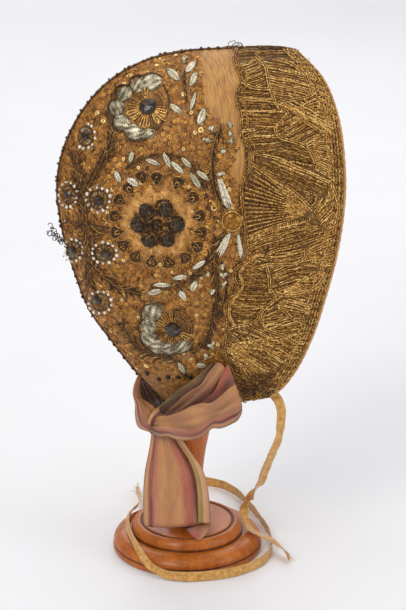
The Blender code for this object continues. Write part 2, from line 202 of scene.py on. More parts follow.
def inside(poly, pts):
    poly, pts = np.asarray(poly, float), np.asarray(pts, float)
    x, y = pts[..., 0], pts[..., 1]
    c = np.zeros(x.shape, bool)
    for (x1, y1), (x2, y2) in zip(poly, np.roll(poly, -1, axis=0)):
        hit = (y1 > y) != (y2 > y)
        with np.errstate(divide="ignore", invalid="ignore"):
            c ^= hit & (x < (x2 - x1) * (y - y1) / (y2 - y1 + 1e-12) + x1)
    return c


# ---------------------------------------------------------------- mesh piles
class Pile:
    """Small shapes gathered into one mesh, with a tone for each point."""

    def __init__(self):
        self.v, self.q, self.t, self.tone, self.st, self.n = [], [], [], [], [], 0

    def add(self, v, quads=None, tris=None, tone=0.5, st=None):
        v = np.asarray(v, float).reshape(-1, 3)
        self.v.append(v)
        if quads is not None and len(quads):
            self.q.append(np.asarray(quads, int) + self.n)
        if tris is not None and len(tris):
            self.t.append(np.asarray(tris, int) + self.n)
        self.tone.append(np.broadcast_to(np.asarray(tone, float), (len(v),)).copy())
        self.st.append(np.zeros((len(v), 2)) if st is None else np.asarray(st, float).reshape(-1, 2))
        self.n += len(v)

    def tris_count(self):
        return sum(len(q) for q in self.q) * 2 + sum(len(t) for t in self.t)


def new_mesh(name, v, quads, tris, tone, st, material, smooth_faces=True):
    mesh = bpy.data.meshes.new(name)
    mesh.vertices.add(len(v))
    mesh.vertices.foreach_set("co", (np.asarray(v) * MM).astype(np.float32).ravel())
    loops = np.concatenate([quads.ravel(), tris.ravel()])
    starts = np.concatenate([np.arange(len(quads)) * 4, len(quads) * 4 + np.arange(len(tris)) * 3])
    mesh.loops.add(len(loops))
    mesh.loops.foreach_set("vertex_index", loops.astype(np.int32))
    mesh.polygons.add(len(starts))
    mesh.polygons.foreach_set("loop_start", starts.astype(np.int32))
    mesh.update(calc_edges=True)
    a = mesh.attributes.new("tone", "FLOAT", "POINT")
    a.data.foreach_set("value", np.asarray(tone, np.float32))
    b = mesh.attributes.new("st", "FLOAT_VECTOR", "POINT")
    b.data.foreach_set("vector", np.concatenate([st, np.zeros((len(st), 1))], 1).astype(np.float32).ravel())
    if smooth_faces:
        mesh.shade_smooth()
    mesh.materials.append(material)
    obj = bpy.data.objects.new(name, mesh)
    scene.collection.objects.link(obj)
    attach(obj, "root")
    return obj


def pour(name, pile, material, sides=("right", "left"), smooth_faces=True):
    """Makes the pile's mesh on the right side and its mirror on the left."""
    if not pile.v:
        return []
    v, tone, st = np.concatenate(pile.v), np.concatenate(pile.tone), np.concatenate(pile.st)
    q = np.concatenate(pile.q) if pile.q else np.zeros((0, 4), int)
    t = np.concatenate(pile.t) if pile.t else np.zeros((0, 3), int)
    made = []
    for side in sides:
        if side == "left":
            w = v * [1, -1, 1]
            o = new_mesh(name + "_left", w, q[:, ::-1], t[:, ::-1], tone, st, material, smooth_faces)
        else:
            o = new_mesh(name + ("_right" if len(sides) > 1 else ""), v, q, t, tone, st, material, smooth_faces)
        made.append(o)
    return made


def grid_quads(rows, cols, wrap=False):
    r, c = np.meshgrid(np.arange(rows - 1), np.arange(cols if wrap else cols - 1), indexing="ij")
    r, c = r.ravel(), c.ravel()
    d = (c + 1) % cols
    return np.stack([r * cols + c, r * cols + d, (r + 1) * cols + d, (r + 1) * cols + c], -1)


def sweep(pile, p, n, r, tone=0.5, sides=5, ends=0.3, flat=1.0):
    """A round thread along p with normals n; flat squashes it against the cloth."""
    p, n = np.asarray(p, float), np.asarray(n, float)
    if len(p) < 2:
        return
    t = np.gradient(p, axis=0)
    t /= np.linalg.norm(t, axis=1, keepdims=True) + 1e-9
    b = np.cross(t, n)
    b /= np.linalg.norm(b, axis=1, keepdims=True) + 1e-9
    m = np.cross(b, t)
    r = np.broadcast_to(np.asarray(r, float), (len(p),)).copy()
    if ends is not None:
        r[0] *= ends
        r[-1] *= ends
    a = np.linspace(0, 2 * math.pi, sides, endpoint=False)
    ring = p[:, None] + r[:, None, None] * (np.cos(a)[None, :, None] * m[:, None] * flat + np.sin(a)[None, :, None] * b[:, None])
    length = np.concatenate([[0], np.cumsum(np.linalg.norm(np.diff(p, axis=0), axis=1))])
    st = np.stack(np.broadcast_arrays(length[:, None], (a / (2 * math.pi))[None, :]), -1)
    tone = np.broadcast_to(np.asarray(tone, float), (len(p),)) + rng.normal(0, 0.10, len(p))
    pile.add(ring, grid_quads(len(p), sides, wrap=True), tone=np.clip(np.repeat(tone, sides), 0, 1), st=st)


def thread(pile, uv, r, lift=None, tone=0.5, sides=5, step=1.6, flat=1.0, wob=0.0, per=8, ends=0.3):
    """A thread couched along chart points."""
    line = curve_through(uv, per)
    xz = cast(line)
    p, _ = lay(xz)
    q = even(np.concatenate([p, xz], 1), step)
    if wob:
        q[:, 3:] += rng.normal(0, wob, (len(q), 2))
    height = (r * 0.8 if lift is None else lift)
    pp, nn = lay(q[:, 3:], np.full(len(q), height) if np.isscalar(height) else np.interp(np.linspace(0, 1, len(q)), np.linspace(0, 1, len(height)), height))
    sweep(pile, pp, nn, r, tone, sides, ends, flat)


def frames_of(n):
    ref = np.where(np.abs(n[:, 2:3]) < 0.9, [[0, 0, 1.0]], [[1.0, 0, 0]])
    a = np.cross(ref, n)
    a /= np.linalg.norm(a, axis=1, keepdims=True)
    return a, np.cross(n, a)


def discs(pile, p, n, radius, hole, seg=8, cup=0.18, tone=0.5, tilt=0.0, thick=0.0):
    """Many spangles: small rings lying on the cloth."""
    p, n = np.asarray(p, float), np.asarray(n, float)
    count = len(p)
    if tilt:
        n = n + rng.normal(0, tilt, n.shape)
        n /= np.linalg.norm(n, axis=1, keepdims=True)
    a, b = frames_of(n)
    turn = rng.uniform(0, 2 * math.pi, count)
    ang = np.linspace(0, 2 * math.pi, seg, endpoint=False)[None] + turn[:, None]
    radius, hole = np.broadcast_to(radius, (count,)), np.broadcast_to(hole, (count,))
    loops = [(hole, 0.0), ((hole * 0.45 + radius * 0.55), cup), (radius, 0.02)]
    v = []
    for rr, h in loops:
        v.append(p[:, None] + n[:, None] * h + (np.cos(ang)[..., None] * a[:, None] + np.sin(ang)[..., None] * b[:, None]) * rr[:, None, None])
    v = np.stack(v, 1)  # count, loops, seg, 3
    base = grid_quads(len(loops), seg, wrap=True)
    quads = (base[None] + (np.arange(count) * len(loops) * seg)[:, None, None]).reshape(-1, 4)[:, ::-1]
    tone = np.broadcast_to(np.asarray(tone, float), (count,))
    pile.add(v, quads, tone=np.repeat(tone, len(loops) * seg))


def domes(pile, p, n, radius, height, seg=10, rings=4, tone=0.5, sink=0.15, around=None):
    """Many beads or domed stones: squashed balls that sit on the cloth."""
    p, n = np.asarray(p, float), np.asarray(n, float)
    count = len(p)
    a, b = frames_of(n)
    if around is not None:
        a = np.asarray(around, float)
        b = np.cross(n, a)
    radius, height = np.broadcast_to(radius, (count,)), np.broadcast_to(height, (count,))
    lat = np.linspace(math.pi / 2, -math.pi / 2, rings * 2 + 1)[1:-1]
    ang = np.linspace(0, 2 * math.pi, seg, endpoint=False)
    v = []
    centre = p + n * (height * (0.5 - sink))[:, None]
    for la in lat:
        rr = radius * math.cos(la)
        v.append(centre[:, None] + (n * (height * 0.5 * math.sin(la))[:, None])[:, None]
                 + (np.cos(ang)[None, :, None] * a[:, None] + np.sin(ang)[None, :, None] * b[:, None]) * rr[:, None, None])
    v = np.stack(v, 1).reshape(count, -1, 3)
    top = centre + n * (height * 0.5)[:, None]
    bottom = centre - n * (height * 0.5)[:, None]
    v = np.concatenate([v, top[:, None], bottom[:, None]], 1)
    m = v.shape[1]
    off = (np.arange(count) * m)[:, None, None]
    quads = (grid_quads(len(lat), seg, wrap=True)[None, :, ::-1] + off).reshape(-1, 4)
    k = np.arange(seg)
    cap1 = np.stack([np.full(seg, m - 2), k, (k + 1) % seg], -1)
    last = (len(lat) - 1) * seg
    cap2 = np.stack([np.full(seg, m - 1), last + (k + 1) % seg, last + k], -1)
    tris = (np.concatenate([cap1, cap2])[None] + off).reshape(-1, 3)
    tone = np.broadcast_to(np.asarray(tone, float), (count,))
    pile.add(v.reshape(-1, 3), quads, tris, tone=np.repeat(tone, m))


def leaf(pile, a, b, width, height=1.1, tone=0.6, rows=15, cols=9, ribs=0.0, blunt=0.7, skew=0.0, base=0.25, bend=0.0, seam=0.0, mottle_and_tip_shade=0.0):
    """A padded leaf or petal between two chart points, laid with close ribs."""
    a, b = np.asarray(a, float), np.asarray(b, float)
    run = b - a
    size = np.linalg.norm(run)
    side = np.array([-run[1], run[0]]) / size
    s = np.linspace(0, 1, rows)[:, None]
    t = np.linspace(-1, 1, cols)[None, :]
    w = width / 2 * np.sin(math.pi * np.clip(s, 0.012, 0.988)) ** blunt
    uv = a + run * s[..., None] + side * (t * w + bend * np.sin(math.pi * s))[..., None]
    xz = cast(uv.reshape(-1, 2)).reshape(rows, cols, 2)
    dome = np.sqrt(np.clip(1 - t**2, 0, 1)) * np.sin(math.pi * s) ** 0.4
    phase = s * size / 2.3 + np.abs(t) * skew
    wave = np.sin(2 * math.pi * phase)
    seam_line = np.exp(-(t / 0.16) ** 2) * seam
    lift = base + height * dome * (1 - 0.35 * seam_line) + ribs * wave * (dome > 0.2)
    lift = np.where((np.abs(t) > 0.99) | (s < 0.005) | (s > 0.995), -0.2, lift)
    p, _ = lay(xz, lift)
    st = np.stack(np.broadcast_arrays(s * size / 1.4, t), -1)
    # painted light and shade: lighter on the rib tops and darker between them, darker along the sunken seam and towards
    # the edges
    shade = tone + 0.16 * wave - 0.45 * seam_line - 0.5 * np.abs(t) ** 5 + rng.normal(0, 0.09, lift.shape)
    if mottle_and_tip_shade:
        # the mottle adds irregular patches, and the tips get painted shade
        patch = np.sin(s * 7 + t * 3 + a[0]) * np.sin(t * 4 - s * 3 + a[1]) + 0.6 * np.sin(s * 13 + t * 9 + a[1])
        shade = shade + mottle_and_tip_shade * patch - 0.35 * np.abs(2 * s - 1) ** 4
    pile.add(p, grid_quads(rows, cols), tone=np.clip(shade, 0, 1).ravel(), st=st)


def shift_line(uv, k):
    return beside(curve_through(uv), k)


# ---------------------------------------------------------------- materials
def lin(c):
    return tuple((v / 255 / 12.92) if v / 255 <= 0.04045 else ((v / 255 + 0.055) / 1.055) ** 2.4 for v in c) + (1.0,)


class Shade:
    """A Principled material with procedural colour and bump."""

    def __init__(self, name, rough=0.5, metal=0.0, **sockets):
        self.m = bpy.data.materials.new(name)
        self.m.use_nodes = True
        self.nt = self.m.node_tree
        self.b = self.nt.nodes["Principled BSDF"]
        self.b.inputs["Roughness"].default_value = rough
        self.b.inputs["Metallic"].default_value = metal
        for k, val in sockets.items():
            self.b.inputs[k.replace("_", " ")].default_value = val
        self.height = None
        self.coord = self.nt.nodes.new("ShaderNodeTexCoord").outputs["Object"]

    def node(self, kind, **props):
        n = self.nt.nodes.new("ShaderNode" + kind)
        for k, val in props.items():
            setattr(n, k, val)
        return n

    def link(self, a, b):
        self.nt.links.new(a, b)

    def scaled(self, scale):
        n = self.node("Mapping")
        n.inputs["Scale"].default_value = scale
        self.link(self.coord, n.inputs["Vector"])
        return n.outputs[0]

    def noise(self, scale, detail=3.0, rough=0.55, stretch=None, vector=None):
        n = self.node("TexNoise")
        n.inputs["Scale"].default_value = scale
        n.inputs["Detail"].default_value = detail
        n.inputs["Roughness"].default_value = rough
        self.link(vector or (self.scaled(stretch) if stretch else self.coord), n.inputs["Vector"])
        return n.outputs["Fac"]

    def attr(self, name, out="Fac"):
        n = self.node("Attribute")
        n.attribute_name = name
        return n.outputs[out]

    def math(self, op, a, b=None, c=None, clamp=False):
        n = self.node("Math", operation=op)
        n.use_clamp = clamp
        for k, v in enumerate((a, b, c)):
            if v is None:
                continue
            if isinstance(v, (int, float)):
                n.inputs[k].default_value = v
            else:
                self.link(v, n.inputs[k])
        return n.outputs[0]

    def ramp(self, fac, stops, interp="LINEAR"):
        n = self.node("ValToRGB")
        r = n.color_ramp
        r.interpolation = interp
        while len(r.elements) < len(stops):
            r.elements.new(0.5)
        for e, (at, col) in zip(r.elements, stops):
            e.position = at
            e.color = lin(col) if len(col) == 3 and max(col) > 1 else (*col, 1.0)
        self.link(fac, n.inputs[0])
        return n.outputs["Color"]

    def mix(self, fac, a, b, kind="MIX"):
        n = self.node("Mix", data_type="RGBA", blend_type=kind)
        for socket, v in ((n.inputs["Factor"], fac), (n.inputs[6], a), (n.inputs[7], b)):
            if isinstance(v, (int, float)):
                socket.default_value = v
            elif isinstance(v, tuple):
                socket.default_value = v
            else:
                self.link(v, socket)
        return n.outputs[2]

    def color(self, out):
        self.link(out, self.b.inputs["Base Color"])
        return self

    def rough(self, out):
        self.link(out, self.b.inputs["Roughness"])
        return self

    def bump(self, height, strength=0.4, distance=0.0004):
        n = self.node("Bump")
        n.inputs["Strength"].default_value = strength
        n.inputs["Distance"].default_value = distance
        self.link(height, n.inputs["Height"])
        if self.height is not None:
            self.link(self.height, n.inputs["Normal"])
        self.height = n.outputs[0]
        self.link(self.height, self.b.inputs["Normal"])
        return self


def thread_material(name, stops, rough=0.42, metal=0.75, spread=0.25, bump=0.35, grain=2600.0, glint=0.0):
    s = Shade(name, rough, metal)
    tone = s.math("ADD", s.attr("tone"), s.math("MULTIPLY", s.math("SUBTRACT", s.noise(420.0, 3.0, 0.7), 0.5), spread), clamp=not glint)
    if glint:
        tone = s.math("ADD", tone, s.math("MULTIPLY", s.math("SUBTRACT", s.noise(1150.0, 1.0, 0.5), 0.5), glint), clamp=True)
    s.color(s.ramp(tone, stops))
    s.rough(s.math("ADD", s.math("MULTIPLY", s.noise(900.0), 0.3), rough - 0.15))
    s.bump(s.noise(grain, 2.0), bump, 0.00012)
    return s.m


GOLD = [(0.0, (52, 31, 12)), (0.25, (108, 72, 30)), (0.5, (168, 118, 54)), (0.75, (216, 164, 84)), (1.0, (255, 226, 146))]
M_gold = thread_material("gold_thread", GOLD, 0.42, 0.5, glint=1.2)
M_brim = thread_material("brim_gold", [(0.0, (54, 34, 12)), (0.3, (122, 84, 34)), (0.55, (184, 132, 62)), (0.8, (222, 168, 86)), (1.0, (255, 230, 150))], 0.42, 0.4, 0.5, glint=1.7)
M_dark = thread_material("dark_cord", [(0.0, (36, 22, 9)), (0.5, (98, 63, 27)), (1.0, (176, 124, 56))], 0.5, 0.2, 0.4, glint=1.1)
M_spangle = thread_material("gilt_spangle", [(0.0, (92, 52, 16)), (0.5, (184, 120, 46)), (0.8, (232, 172, 80)), (1.0, (255, 232, 160))], 0.36, 0.55, 0.35, 0.1)
M_silver = thread_material("silver_purl", [(0.0, (86, 74, 50)), (0.5, (190, 178, 146)), (1.0, (252, 246, 226))], 0.36, 0.4, 0.6, 0.3, glint=0.8)
M_pearl = thread_material("pearl_bead", [(0.0, (160, 144, 116)), (0.5, (226, 214, 190)), (1.0, (255, 250, 238))], 0.28, 0.05, 0.25, 0.05)
M_wire = thread_material("purl_wire", [(0.0, (28, 20, 14)), (1.0, (84, 60, 36))], 0.5, 0.15)


def silk_material(name, plain, worked, satin, lace):
    """Silk cloth: plain ribbed, worked and satin areas in one piece."""
    s = Shade(name, 0.6, 0.0, Sheen_Weight=0.08, Sheen_Roughness=0.4)
    ribs = s.node("TexWave", wave_type="BANDS", bands_direction="X")
    ribs.inputs["Scale"].default_value = 330.0
    ribs.inputs["Distortion"].default_value = 1.2
    ribs.inputs["Detail"].default_value = 2.0
    ribs.inputs["Detail Scale"].default_value = 1.4
    s.link(s.coord, ribs.inputs["Vector"])
    streak = s.noise(900.0, 3.0, 0.6, stretch=(1.0, 0.12, 0.10))
    streaks = s.math("ADD", s.math("MULTIPLY", streak, 0.9), s.math("MULTIPLY", ribs.outputs["Fac"], 0.1))
    c_plain = s.ramp(streaks, plain)
    c_work = s.ramp(s.noise(330.0, 5.0, 0.7), worked)
    c_satin = s.ramp(s.noise(240.0, 4.0, 0.65), satin)
    c_lace = s.ramp(s.noise(500.0, 5.0, 0.7), lace)
    c = s.mix(s.attr("plain"), c_work, c_plain)
    c = s.mix(s.attr("satin"), c, c_satin)
    c = s.mix(s.attr("lace"), c, c_lace)
    s.color(c)
    s.bump(streaks, 0.3, 0.0002)
    s.bump(s.noise(1200.0, 3.0), 0.3, 0.0002)
    return s.m


M_silk = silk_material(
    "embroidered_silk",
    [(0.28, (122, 76, 34)), (0.42, (166, 114, 54)), (0.62, (198, 146, 76))],
    [(0.3, (64, 38, 10)), (0.5, (146, 96, 34)), (0.7, (206, 146, 60))],
    [(0.3, (126, 78, 30)), (0.5, (188, 130, 60)), (0.7, (228, 176, 94))],
    [(0.3, (66, 42, 16)), (0.5, (118, 80, 34)), (0.7, (168, 122, 56))])


def lining_material():
    s = Shade("linen_lining", 0.8, 0.0, Sheen_Weight=0.2)
    weave = s.node("TexChecker")
    weave.inputs["Scale"].default_value = 900.0
    s.link(s.coord, weave.inputs["Vector"])
    s.color(s.ramp(s.noise(160.0, 4.0), [(0.3, (170, 132, 88)), (0.7, (206, 170, 122))]))
    s.bump(weave.outputs["Fac"], 0.15, 0.0001)
    return s.m


M_lining = lining_material()


def stone_material():
    s = Shade("glass_stone", 0.24, 0.0, Specular_IOR_Level=0.32, Coat_Weight=0.2, Coat_Roughness=0.08)
    s.color(s.ramp(s.noise(500.0, 2.0), [(0.3, (20, 13, 10)), (0.55, (54, 40, 34)), (0.75, (112, 94, 84))]))
    s.bump(s.noise(420.0, 1.0), 0.25, 0.0004)
    return s.m


def foil_material():
    s = Shade("dark_foil", 0.42, 0.55)
    s.color(s.ramp(s.noise(700.0, 4.0, 0.7), [(0.34, (18, 12, 7)), (0.5, (50, 38, 24)), (0.68, (112, 94, 66))]))
    s.bump(s.noise(900.0, 3.0), 0.8, 0.0005)
    return s.m


def button_material():
    s = Shade("gold_button", 0.3, 0.85)
    s.color(s.ramp(s.noise(500.0, 3.0), [(0.3, (104, 64, 20)), (0.7, (188, 134, 58))]))
    s.bump(s.noise(800.0, 2.0), 0.3, 0.0003)
    return s.m


def wood_material(name, dark, mid, light, rough=0.26, coat=0.5):
    s = Shade(name, rough, 0.0, Coat_Weight=coat, Coat_Roughness=0.12, Specular_IOR_Level=0.25)
    grain = s.noise(60.0, 6.0, 0.65, stretch=(1.0, 1.0, 0.12))
    fine = s.noise(900.0, 4.0, 0.6, stretch=(1.0, 1.0, 0.06))
    both = s.math("ADD", s.math("MULTIPLY", grain, 0.65), s.math("MULTIPLY", fine, 0.35))
    # painted shade: where the turning's tone is low, a dark brown is mixed in, in the grooves, under the edges and at
    # the post's foot
    painted_groove_shade = s.math("SUBTRACT", 1.0, s.math("MULTIPLY", s.attr("tone"), 2.6, clamp=True), clamp=True)
    c = s.ramp(both, [(0.3, dark), (0.5, mid), (0.7, light)])
    s.color(s.mix(painted_groove_shade, c, s.ramp(fine, [(0.3, (46, 22, 8)), (0.7, (74, 38, 16))])))
    s.bump(fine, 0.10, 0.0002)
    return s.m


M_stone, M_foil, M_button = stone_material(), foil_material(), button_material()
M_base = wood_material("turned_wood_foot", (124, 60, 14), (184, 100, 34), (212, 126, 50), 0.36, 0.16)
M_post = wood_material("turned_wood_post", (138, 64, 18), (186, 98, 38), (212, 124, 54), 0.42, 0.12)


def ribbon_material():
    s = Shade("striped_ribbon", 0.46, 0.0, Sheen_Weight=0.45, Sheen_Roughness=0.35)
    sep = s.node("SeparateXYZ")
    s.link(s.attr("st", "Vector"), sep.inputs[0])
    warp_at = s.node("CombineXYZ")
    s.link(s.math("MULTIPLY", sep.outputs["Y"], 62.0), warp_at.inputs[0])
    s.link(s.math("MULTIPLY", sep.outputs["X"], 1.6), warp_at.inputs[1])
    warp = s.noise(1.0, 3.0, 0.7, vector=warp_at.outputs[0])
    broad_at = s.node("CombineXYZ")
    s.link(s.math("MULTIPLY", sep.outputs["Y"], 14.0), broad_at.inputs[0])
    s.link(s.math("MULTIPLY", sep.outputs["X"], 2.5), broad_at.inputs[1])
    broad = s.noise(1.0, 2.0, 0.6, vector=broad_at.outputs[0])
    across = s.math("ADD", sep.outputs["Y"], s.math("MULTIPLY", s.math("SUBTRACT", warp, 0.5), 0.02))
    green, pale, tan, gold_, rose, red, purple = (140, 122, 48), (204, 146, 104), (190, 126, 84), (200, 140, 78), (180, 92, 76), (176, 72, 56), (100, 42, 52)
    c = s.ramp(across, [
        (0.0, green), (0.022, green), (0.036, pale), (0.085, pale), (0.112, rose), (0.13, purple), (0.174, purple), (0.19, (170, 84, 72)), (0.235, (184, 104, 80)),
        (0.29, tan), (0.38, gold_), (0.46, tan), (0.56, gold_), (0.62, tan), (0.665, rose), (0.71, red), (0.77, red), (0.80, (140, 60, 62)),
        (0.83, purple), (0.862, purple), (0.885, pale), (0.952, (212, 166, 124)), (0.966, green), (1.0, (160, 146, 74))])
    c = s.mix(s.math("MULTIPLY", s.math("SUBTRACT", warp, 0.38, clamp=True), 1.5, clamp=True), c, s.ramp(broad, [(0.32, (156, 80, 58)), (0.5, (200, 134, 90)), (0.68, (226, 172, 120))]))
    fine = s.noise(1700.0, 2.0, 0.5)
    c = s.mix(0.14, c, s.ramp(fine, [(0.3, (96, 60, 40)), (0.7, (226, 182, 140))]))
    # painted shade: where the tone falls below 0.5, a dark brown is mixed into the stripes, for the ribbon's folds and
    # hollows
    painted_shade_mix = s.math("SUBTRACT", 1.0, s.math("MULTIPLY", s.attr("tone"), 2.0, clamp=True), clamp=True)
    s.color(s.mix(painted_shade_mix, c, s.ramp(warp, [(0.35, (30, 16, 10)), (0.65, (88, 52, 28))])))
    s.bump(warp, 0.22, 0.0003)
    s.bump(fine, 0.12, 0.0001)
    return s.m


def tape_material():
    s = Shade("silk_tape", 0.5, 0.0, Sheen_Weight=0.4, Sheen_Roughness=0.4)
    sep = s.node("SeparateXYZ")
    s.link(s.attr("st", "Vector"), sep.inputs[0])
    warp = s.math("SINE", s.math("MULTIPLY", sep.outputs["Y"], 60.0))
    noise = s.noise(380.0, 4.0, 0.65)
    f = s.math("ADD", s.math("MULTIPLY", warp, 0.08), noise)
    s.color(s.ramp(f, [(0.3, (172, 122, 52)), (0.5, (206, 152, 74)), (0.7, (228, 180, 102))]))
    s.bump(s.noise(1500.0, 2.0), 0.3, 0.00015)
    s.bump(warp, 0.15, 0.0001)
    return s.m


M_ribbon, M_tape = ribbon_material(), tape_material()

# ---------------------------------------------------------------- chart of the work
# areas of the right side, in chart points
LACE_LEFT = [(237, 49), (234, 59), (241, 81), (237, 94), (241, 119), (242, 138), (251, 151), (252, 164), (243, 180),
             (243, 209), (246, 229), (246, 238), (247, 261), (238, 266), (234, 276), (238, 287), (225, 306), (228, 320),
             (225, 338), (224, 348), (229, 364), (238, 382), (243, 402)]
FACE_LINE = [(300, 47), (310, 59), (321, 76), (328, 90), (336, 110), (340, 133), (342, 166), (344, 185), (343, 200),
             (339, 233), (336, 251), (331, 274), (324, 296), (317, 321), (309, 342), (300, 361), (291, 375), (280, 388),
             (272, 391), (262, 398), (240, 402)]
LACE_AREA = LACE_LEFT + FACE_LINE[::-1]
LACE_ALL = LACE_LEFT + [(240, 430), (300, 430), (380, 300), (380, 100), (330, 20), (237, 20)]
PLAIN_FRONT = [(200, 20), (237, 20), (236, 60), (243, 82), (238, 96), (243, 120), (243, 140), (253, 152), (254, 166), (246, 182),
               (240, 186), (230, 176), (232, 160), (238, 146), (232, 128), (222, 122), (212, 118), (205, 104), (203, 80)]
PLAIN_NAPE = [(120, 372), (148, 369), (168, 371), (195, 368), (212, 372), (226, 372), (240, 400), (240, 440), (100, 440), (110, 360)]
ROSETTE_AREA = [(157 + 36 * math.cos(a) * (1 + 0.06 * math.cos(14 * a)), 223 + 35 * math.sin(a) * (1 + 0.06 * math.cos(14 * a)))
                for a in np.linspace(0, 2 * math.pi, 84, endpoint=False)]
BIG_FLOWERS = [((146, 107), 27, 28), ((168, 330), 25, 23)]
SMALL_FLOWERS = [(86, 136, 11, 15), (69, 194.5, 10.5, 14), (99, 199.5, 14, 14), (74, 250, 11, 13), (105, 252.5, 14, 12), (101, 302, 13, 13)]


def along(points, count, lifted=True):
    """Even steps over the curved side along a line of (x, z) places."""
    p = np.asarray(points, float)
    knots = np.concatenate([[0], np.cumsum(np.linalg.norm(np.diff(p, axis=0), axis=1))])
    fine = np.linspace(0, knots[-1], 500)
    dense = np.stack([smooth(knots, p[:, k], fine) for k in range(2)], 1)
    solid = lay(dense)[0] if lifted else dense
    length = np.concatenate([[0], np.cumsum(np.linalg.norm(np.diff(solid, axis=0), axis=1))])
    at = np.linspace(0, length[-1], count)
    return np.stack([np.interp(at, length, dense[:, k]) for k in range(2)], 1)


def ridge_curve(count):
    start, end = float(polar(NAPE_X, NAPE_Z)[0]), float(polar(*CROWN_SEAM[-1])[0])
    a = np.linspace(start, end, 400)
    r = smooth(RIDGE_ANGLES, RIDGE_REACH, a)
    pts = np.stack([POLE_X - r * np.cos(a), POLE_Z + r * np.sin(a)], 1)
    return along(pts[::8].tolist() + [pts[-1]], count, lifted=False)


def crown_grid(rows, cols):
    seam, ridge = along(CROWN_SEAM, rows), ridge_curve(rows)
    out = []
    for s, r in zip(seam, ridge):
        line = (s + (r - s) * SEAM_GAP) + (r - (s + (r - s) * SEAM_GAP)) * np.linspace(0, 1, 120)[:, None]
        solid, _ = lay(line)
        length = np.concatenate([[0], np.cumsum(np.linalg.norm(np.diff(solid, axis=0), axis=1))])
        at = np.linspace(0, length[-1], cols)
        out.append(np.stack([np.interp(at, length, line[:, k]) for k in range(2)], 1))
    return np.array(out)


def brim_places(t, s):
    """(x, z) on the brim: t from cheek to ridge, s from face edge to seam; arrays of one shape."""
    t, s = np.broadcast_arrays(np.asarray(t, float), np.asarray(s, float))
    n = 401
    face, seam = along(FACE_EDGE, n), along(CROWN_SEAM, n)
    at = np.linspace(0, 1, n)
    f = np.stack([np.interp(t, at, face[:, k]) for k in range(2)], -1)
    g = np.stack([np.interp(t, at, seam[:, k]) for k in range(2)], -1)
    q = f + (g - f) * s[..., None]
    top = face[-1] + (seam[-1] - face[-1]) * s[..., None]
    ratio = depth_ratio(top[..., 0], top[..., 1])
    stretch = 1 + t**5 * (1 / ratio - 1)
    return np.stack([POLE_X + (q[..., 0] - POLE_X) * stretch, POLE_Z + (q[..., 1] - POLE_Z) * stretch], -1)


def wall(name, xz, gap, outer, replaces, closed_ridge=False, thickness=CLOTH, bend=0.0):
    """A cloth wall over a grid of places, with its lining and its edges, on both sides."""
    rows, cols = xz.shape[:2]
    p, n = lay(xz)
    p[..., 1] = -np.maximum(-p[..., 1], gap)
    inner = p - n * thickness
    inner[..., 1] = -np.maximum(-inner[..., 1], max(gap - 0.5, 0.0))
    uv = chart_of(p)
    flags = {
        "plain": inside(PLAIN_FRONT, uv).astype(float),
        "satin": inside(ROSETTE_AREA, uv).astype(float),
        "lace": inside(LACE_ALL, uv).astype(float),
    }
    # the way round the four edges
    idx = np.arange(rows * cols).reshape(rows, cols)
    ring = np.concatenate([idx[0, :], idx[1:, -1], idx[-1, -2::-1], idx[-2:0:-1, 0]])
    outer_q = grid_quads(rows, cols)
    total = rows * cols
    inner_q = outer_q[:, ::-1] + total
    nxt = np.roll(ring, -1)
    edge_q = np.stack([nxt, ring, ring + total, nxt + total], -1)
    v = np.concatenate([p.reshape(-1, 3), inner.reshape(-1, 3)])
    made = []
    for side in ("right", "left"):
        flip = side == "left"
        w = v * ([1, -1, 1] if flip else [1, 1, 1])
        # outer faces must look out
        a, b, c = w[outer_q[0, 0]], w[outer_q[0, 1]], w[outer_q[0, 2]]
        mid = len(outer_q) // 2
        a, b, c = (w[outer_q[mid, k]] for k in range(3))
        out_n = np.cross(b - a, c - a)
        want = n.reshape(-1, 3)[outer_q[mid, 0]] * ([1, -1, 1] if flip else [1, 1, 1])
        turn = (out_n @ want) < 0
        quads = np.concatenate([outer_q, inner_q, edge_q])
        if turn:
            quads = quads[:, ::-1]
        o = new_mesh(name + "_" + side, w, quads, np.zeros((0, 3), int), np.full(len(w), 0.5), np.zeros((len(w), 2)), outer)
        o.data.materials.append(M_lining)
        m_index = np.zeros(len(quads), np.int32)
        m_index[len(outer_q):len(outer_q) + len(inner_q)] = 1
        o.data.polygons.foreach_set("material_index", m_index)
        for key, val in flags.items():
            at = o.data.attributes.new(key, "FLOAT", "POINT")
            both = np.concatenate([val.ravel(), val.ravel()])
            at.data.foreach_set("value", both.astype(np.float32))
        made.append(o)
    return made


crown = wall("crown_cloth", crown_grid(112, 72), RIDGE_GAP, M_silk, None)
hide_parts("crown_right")
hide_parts("crown_left")
T, S = np.meshgrid(np.linspace(0, 1, 126), np.linspace(0, 1 - SEAM_GAP, 36), indexing="ij")
brim_xz = brim_places(T, S)
brim = wall("brim_cloth", brim_xz, 0.0, M_silk, None)
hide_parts("brim")

# ---------------------------------------------------------------- ties: free silk tapes
TIE_W = 7.0
TIE_RIGHT = [
    # x, y, z, turn (degrees: 0 lies flat, 90 stands on edge)
    (44.0, -42.5, 129, 90),
    (48.5, -43.5, 125.8, 90),
    (52.4, -45.3, 120.5, 90),
    (53.9, -47.5, 114.9, 90),
    (53.6, -49.0, 108, 90),
    (52.6, -49.0, 96.9, 90),
    (49.4, -44.0, 82.3, 90),
    (46.7, -36.5, 68.8, 90),
    (45.0, -25.5, 51.7, 90),
    (42.8, -15.0, 40.5, 80),
    (40.6, -7.0, 32.0, 65),
    (39.4, -3.5, 24.5, 50),
    (39.4, -6.5, 18.2, 35),
    (40.6, -13.2, 15.0, 20),
    (43.6, -19.2, 13.6, 10),
    (48.6, -22.6, 12.0, 6),
    (54.0, -25.0, 9.8, 8),
    (58.4, -29.0, 7.0, 25),
    (61.0, -34.5, 4.8, 60),
    (62.2, -41.0, 3.9, 80),
]
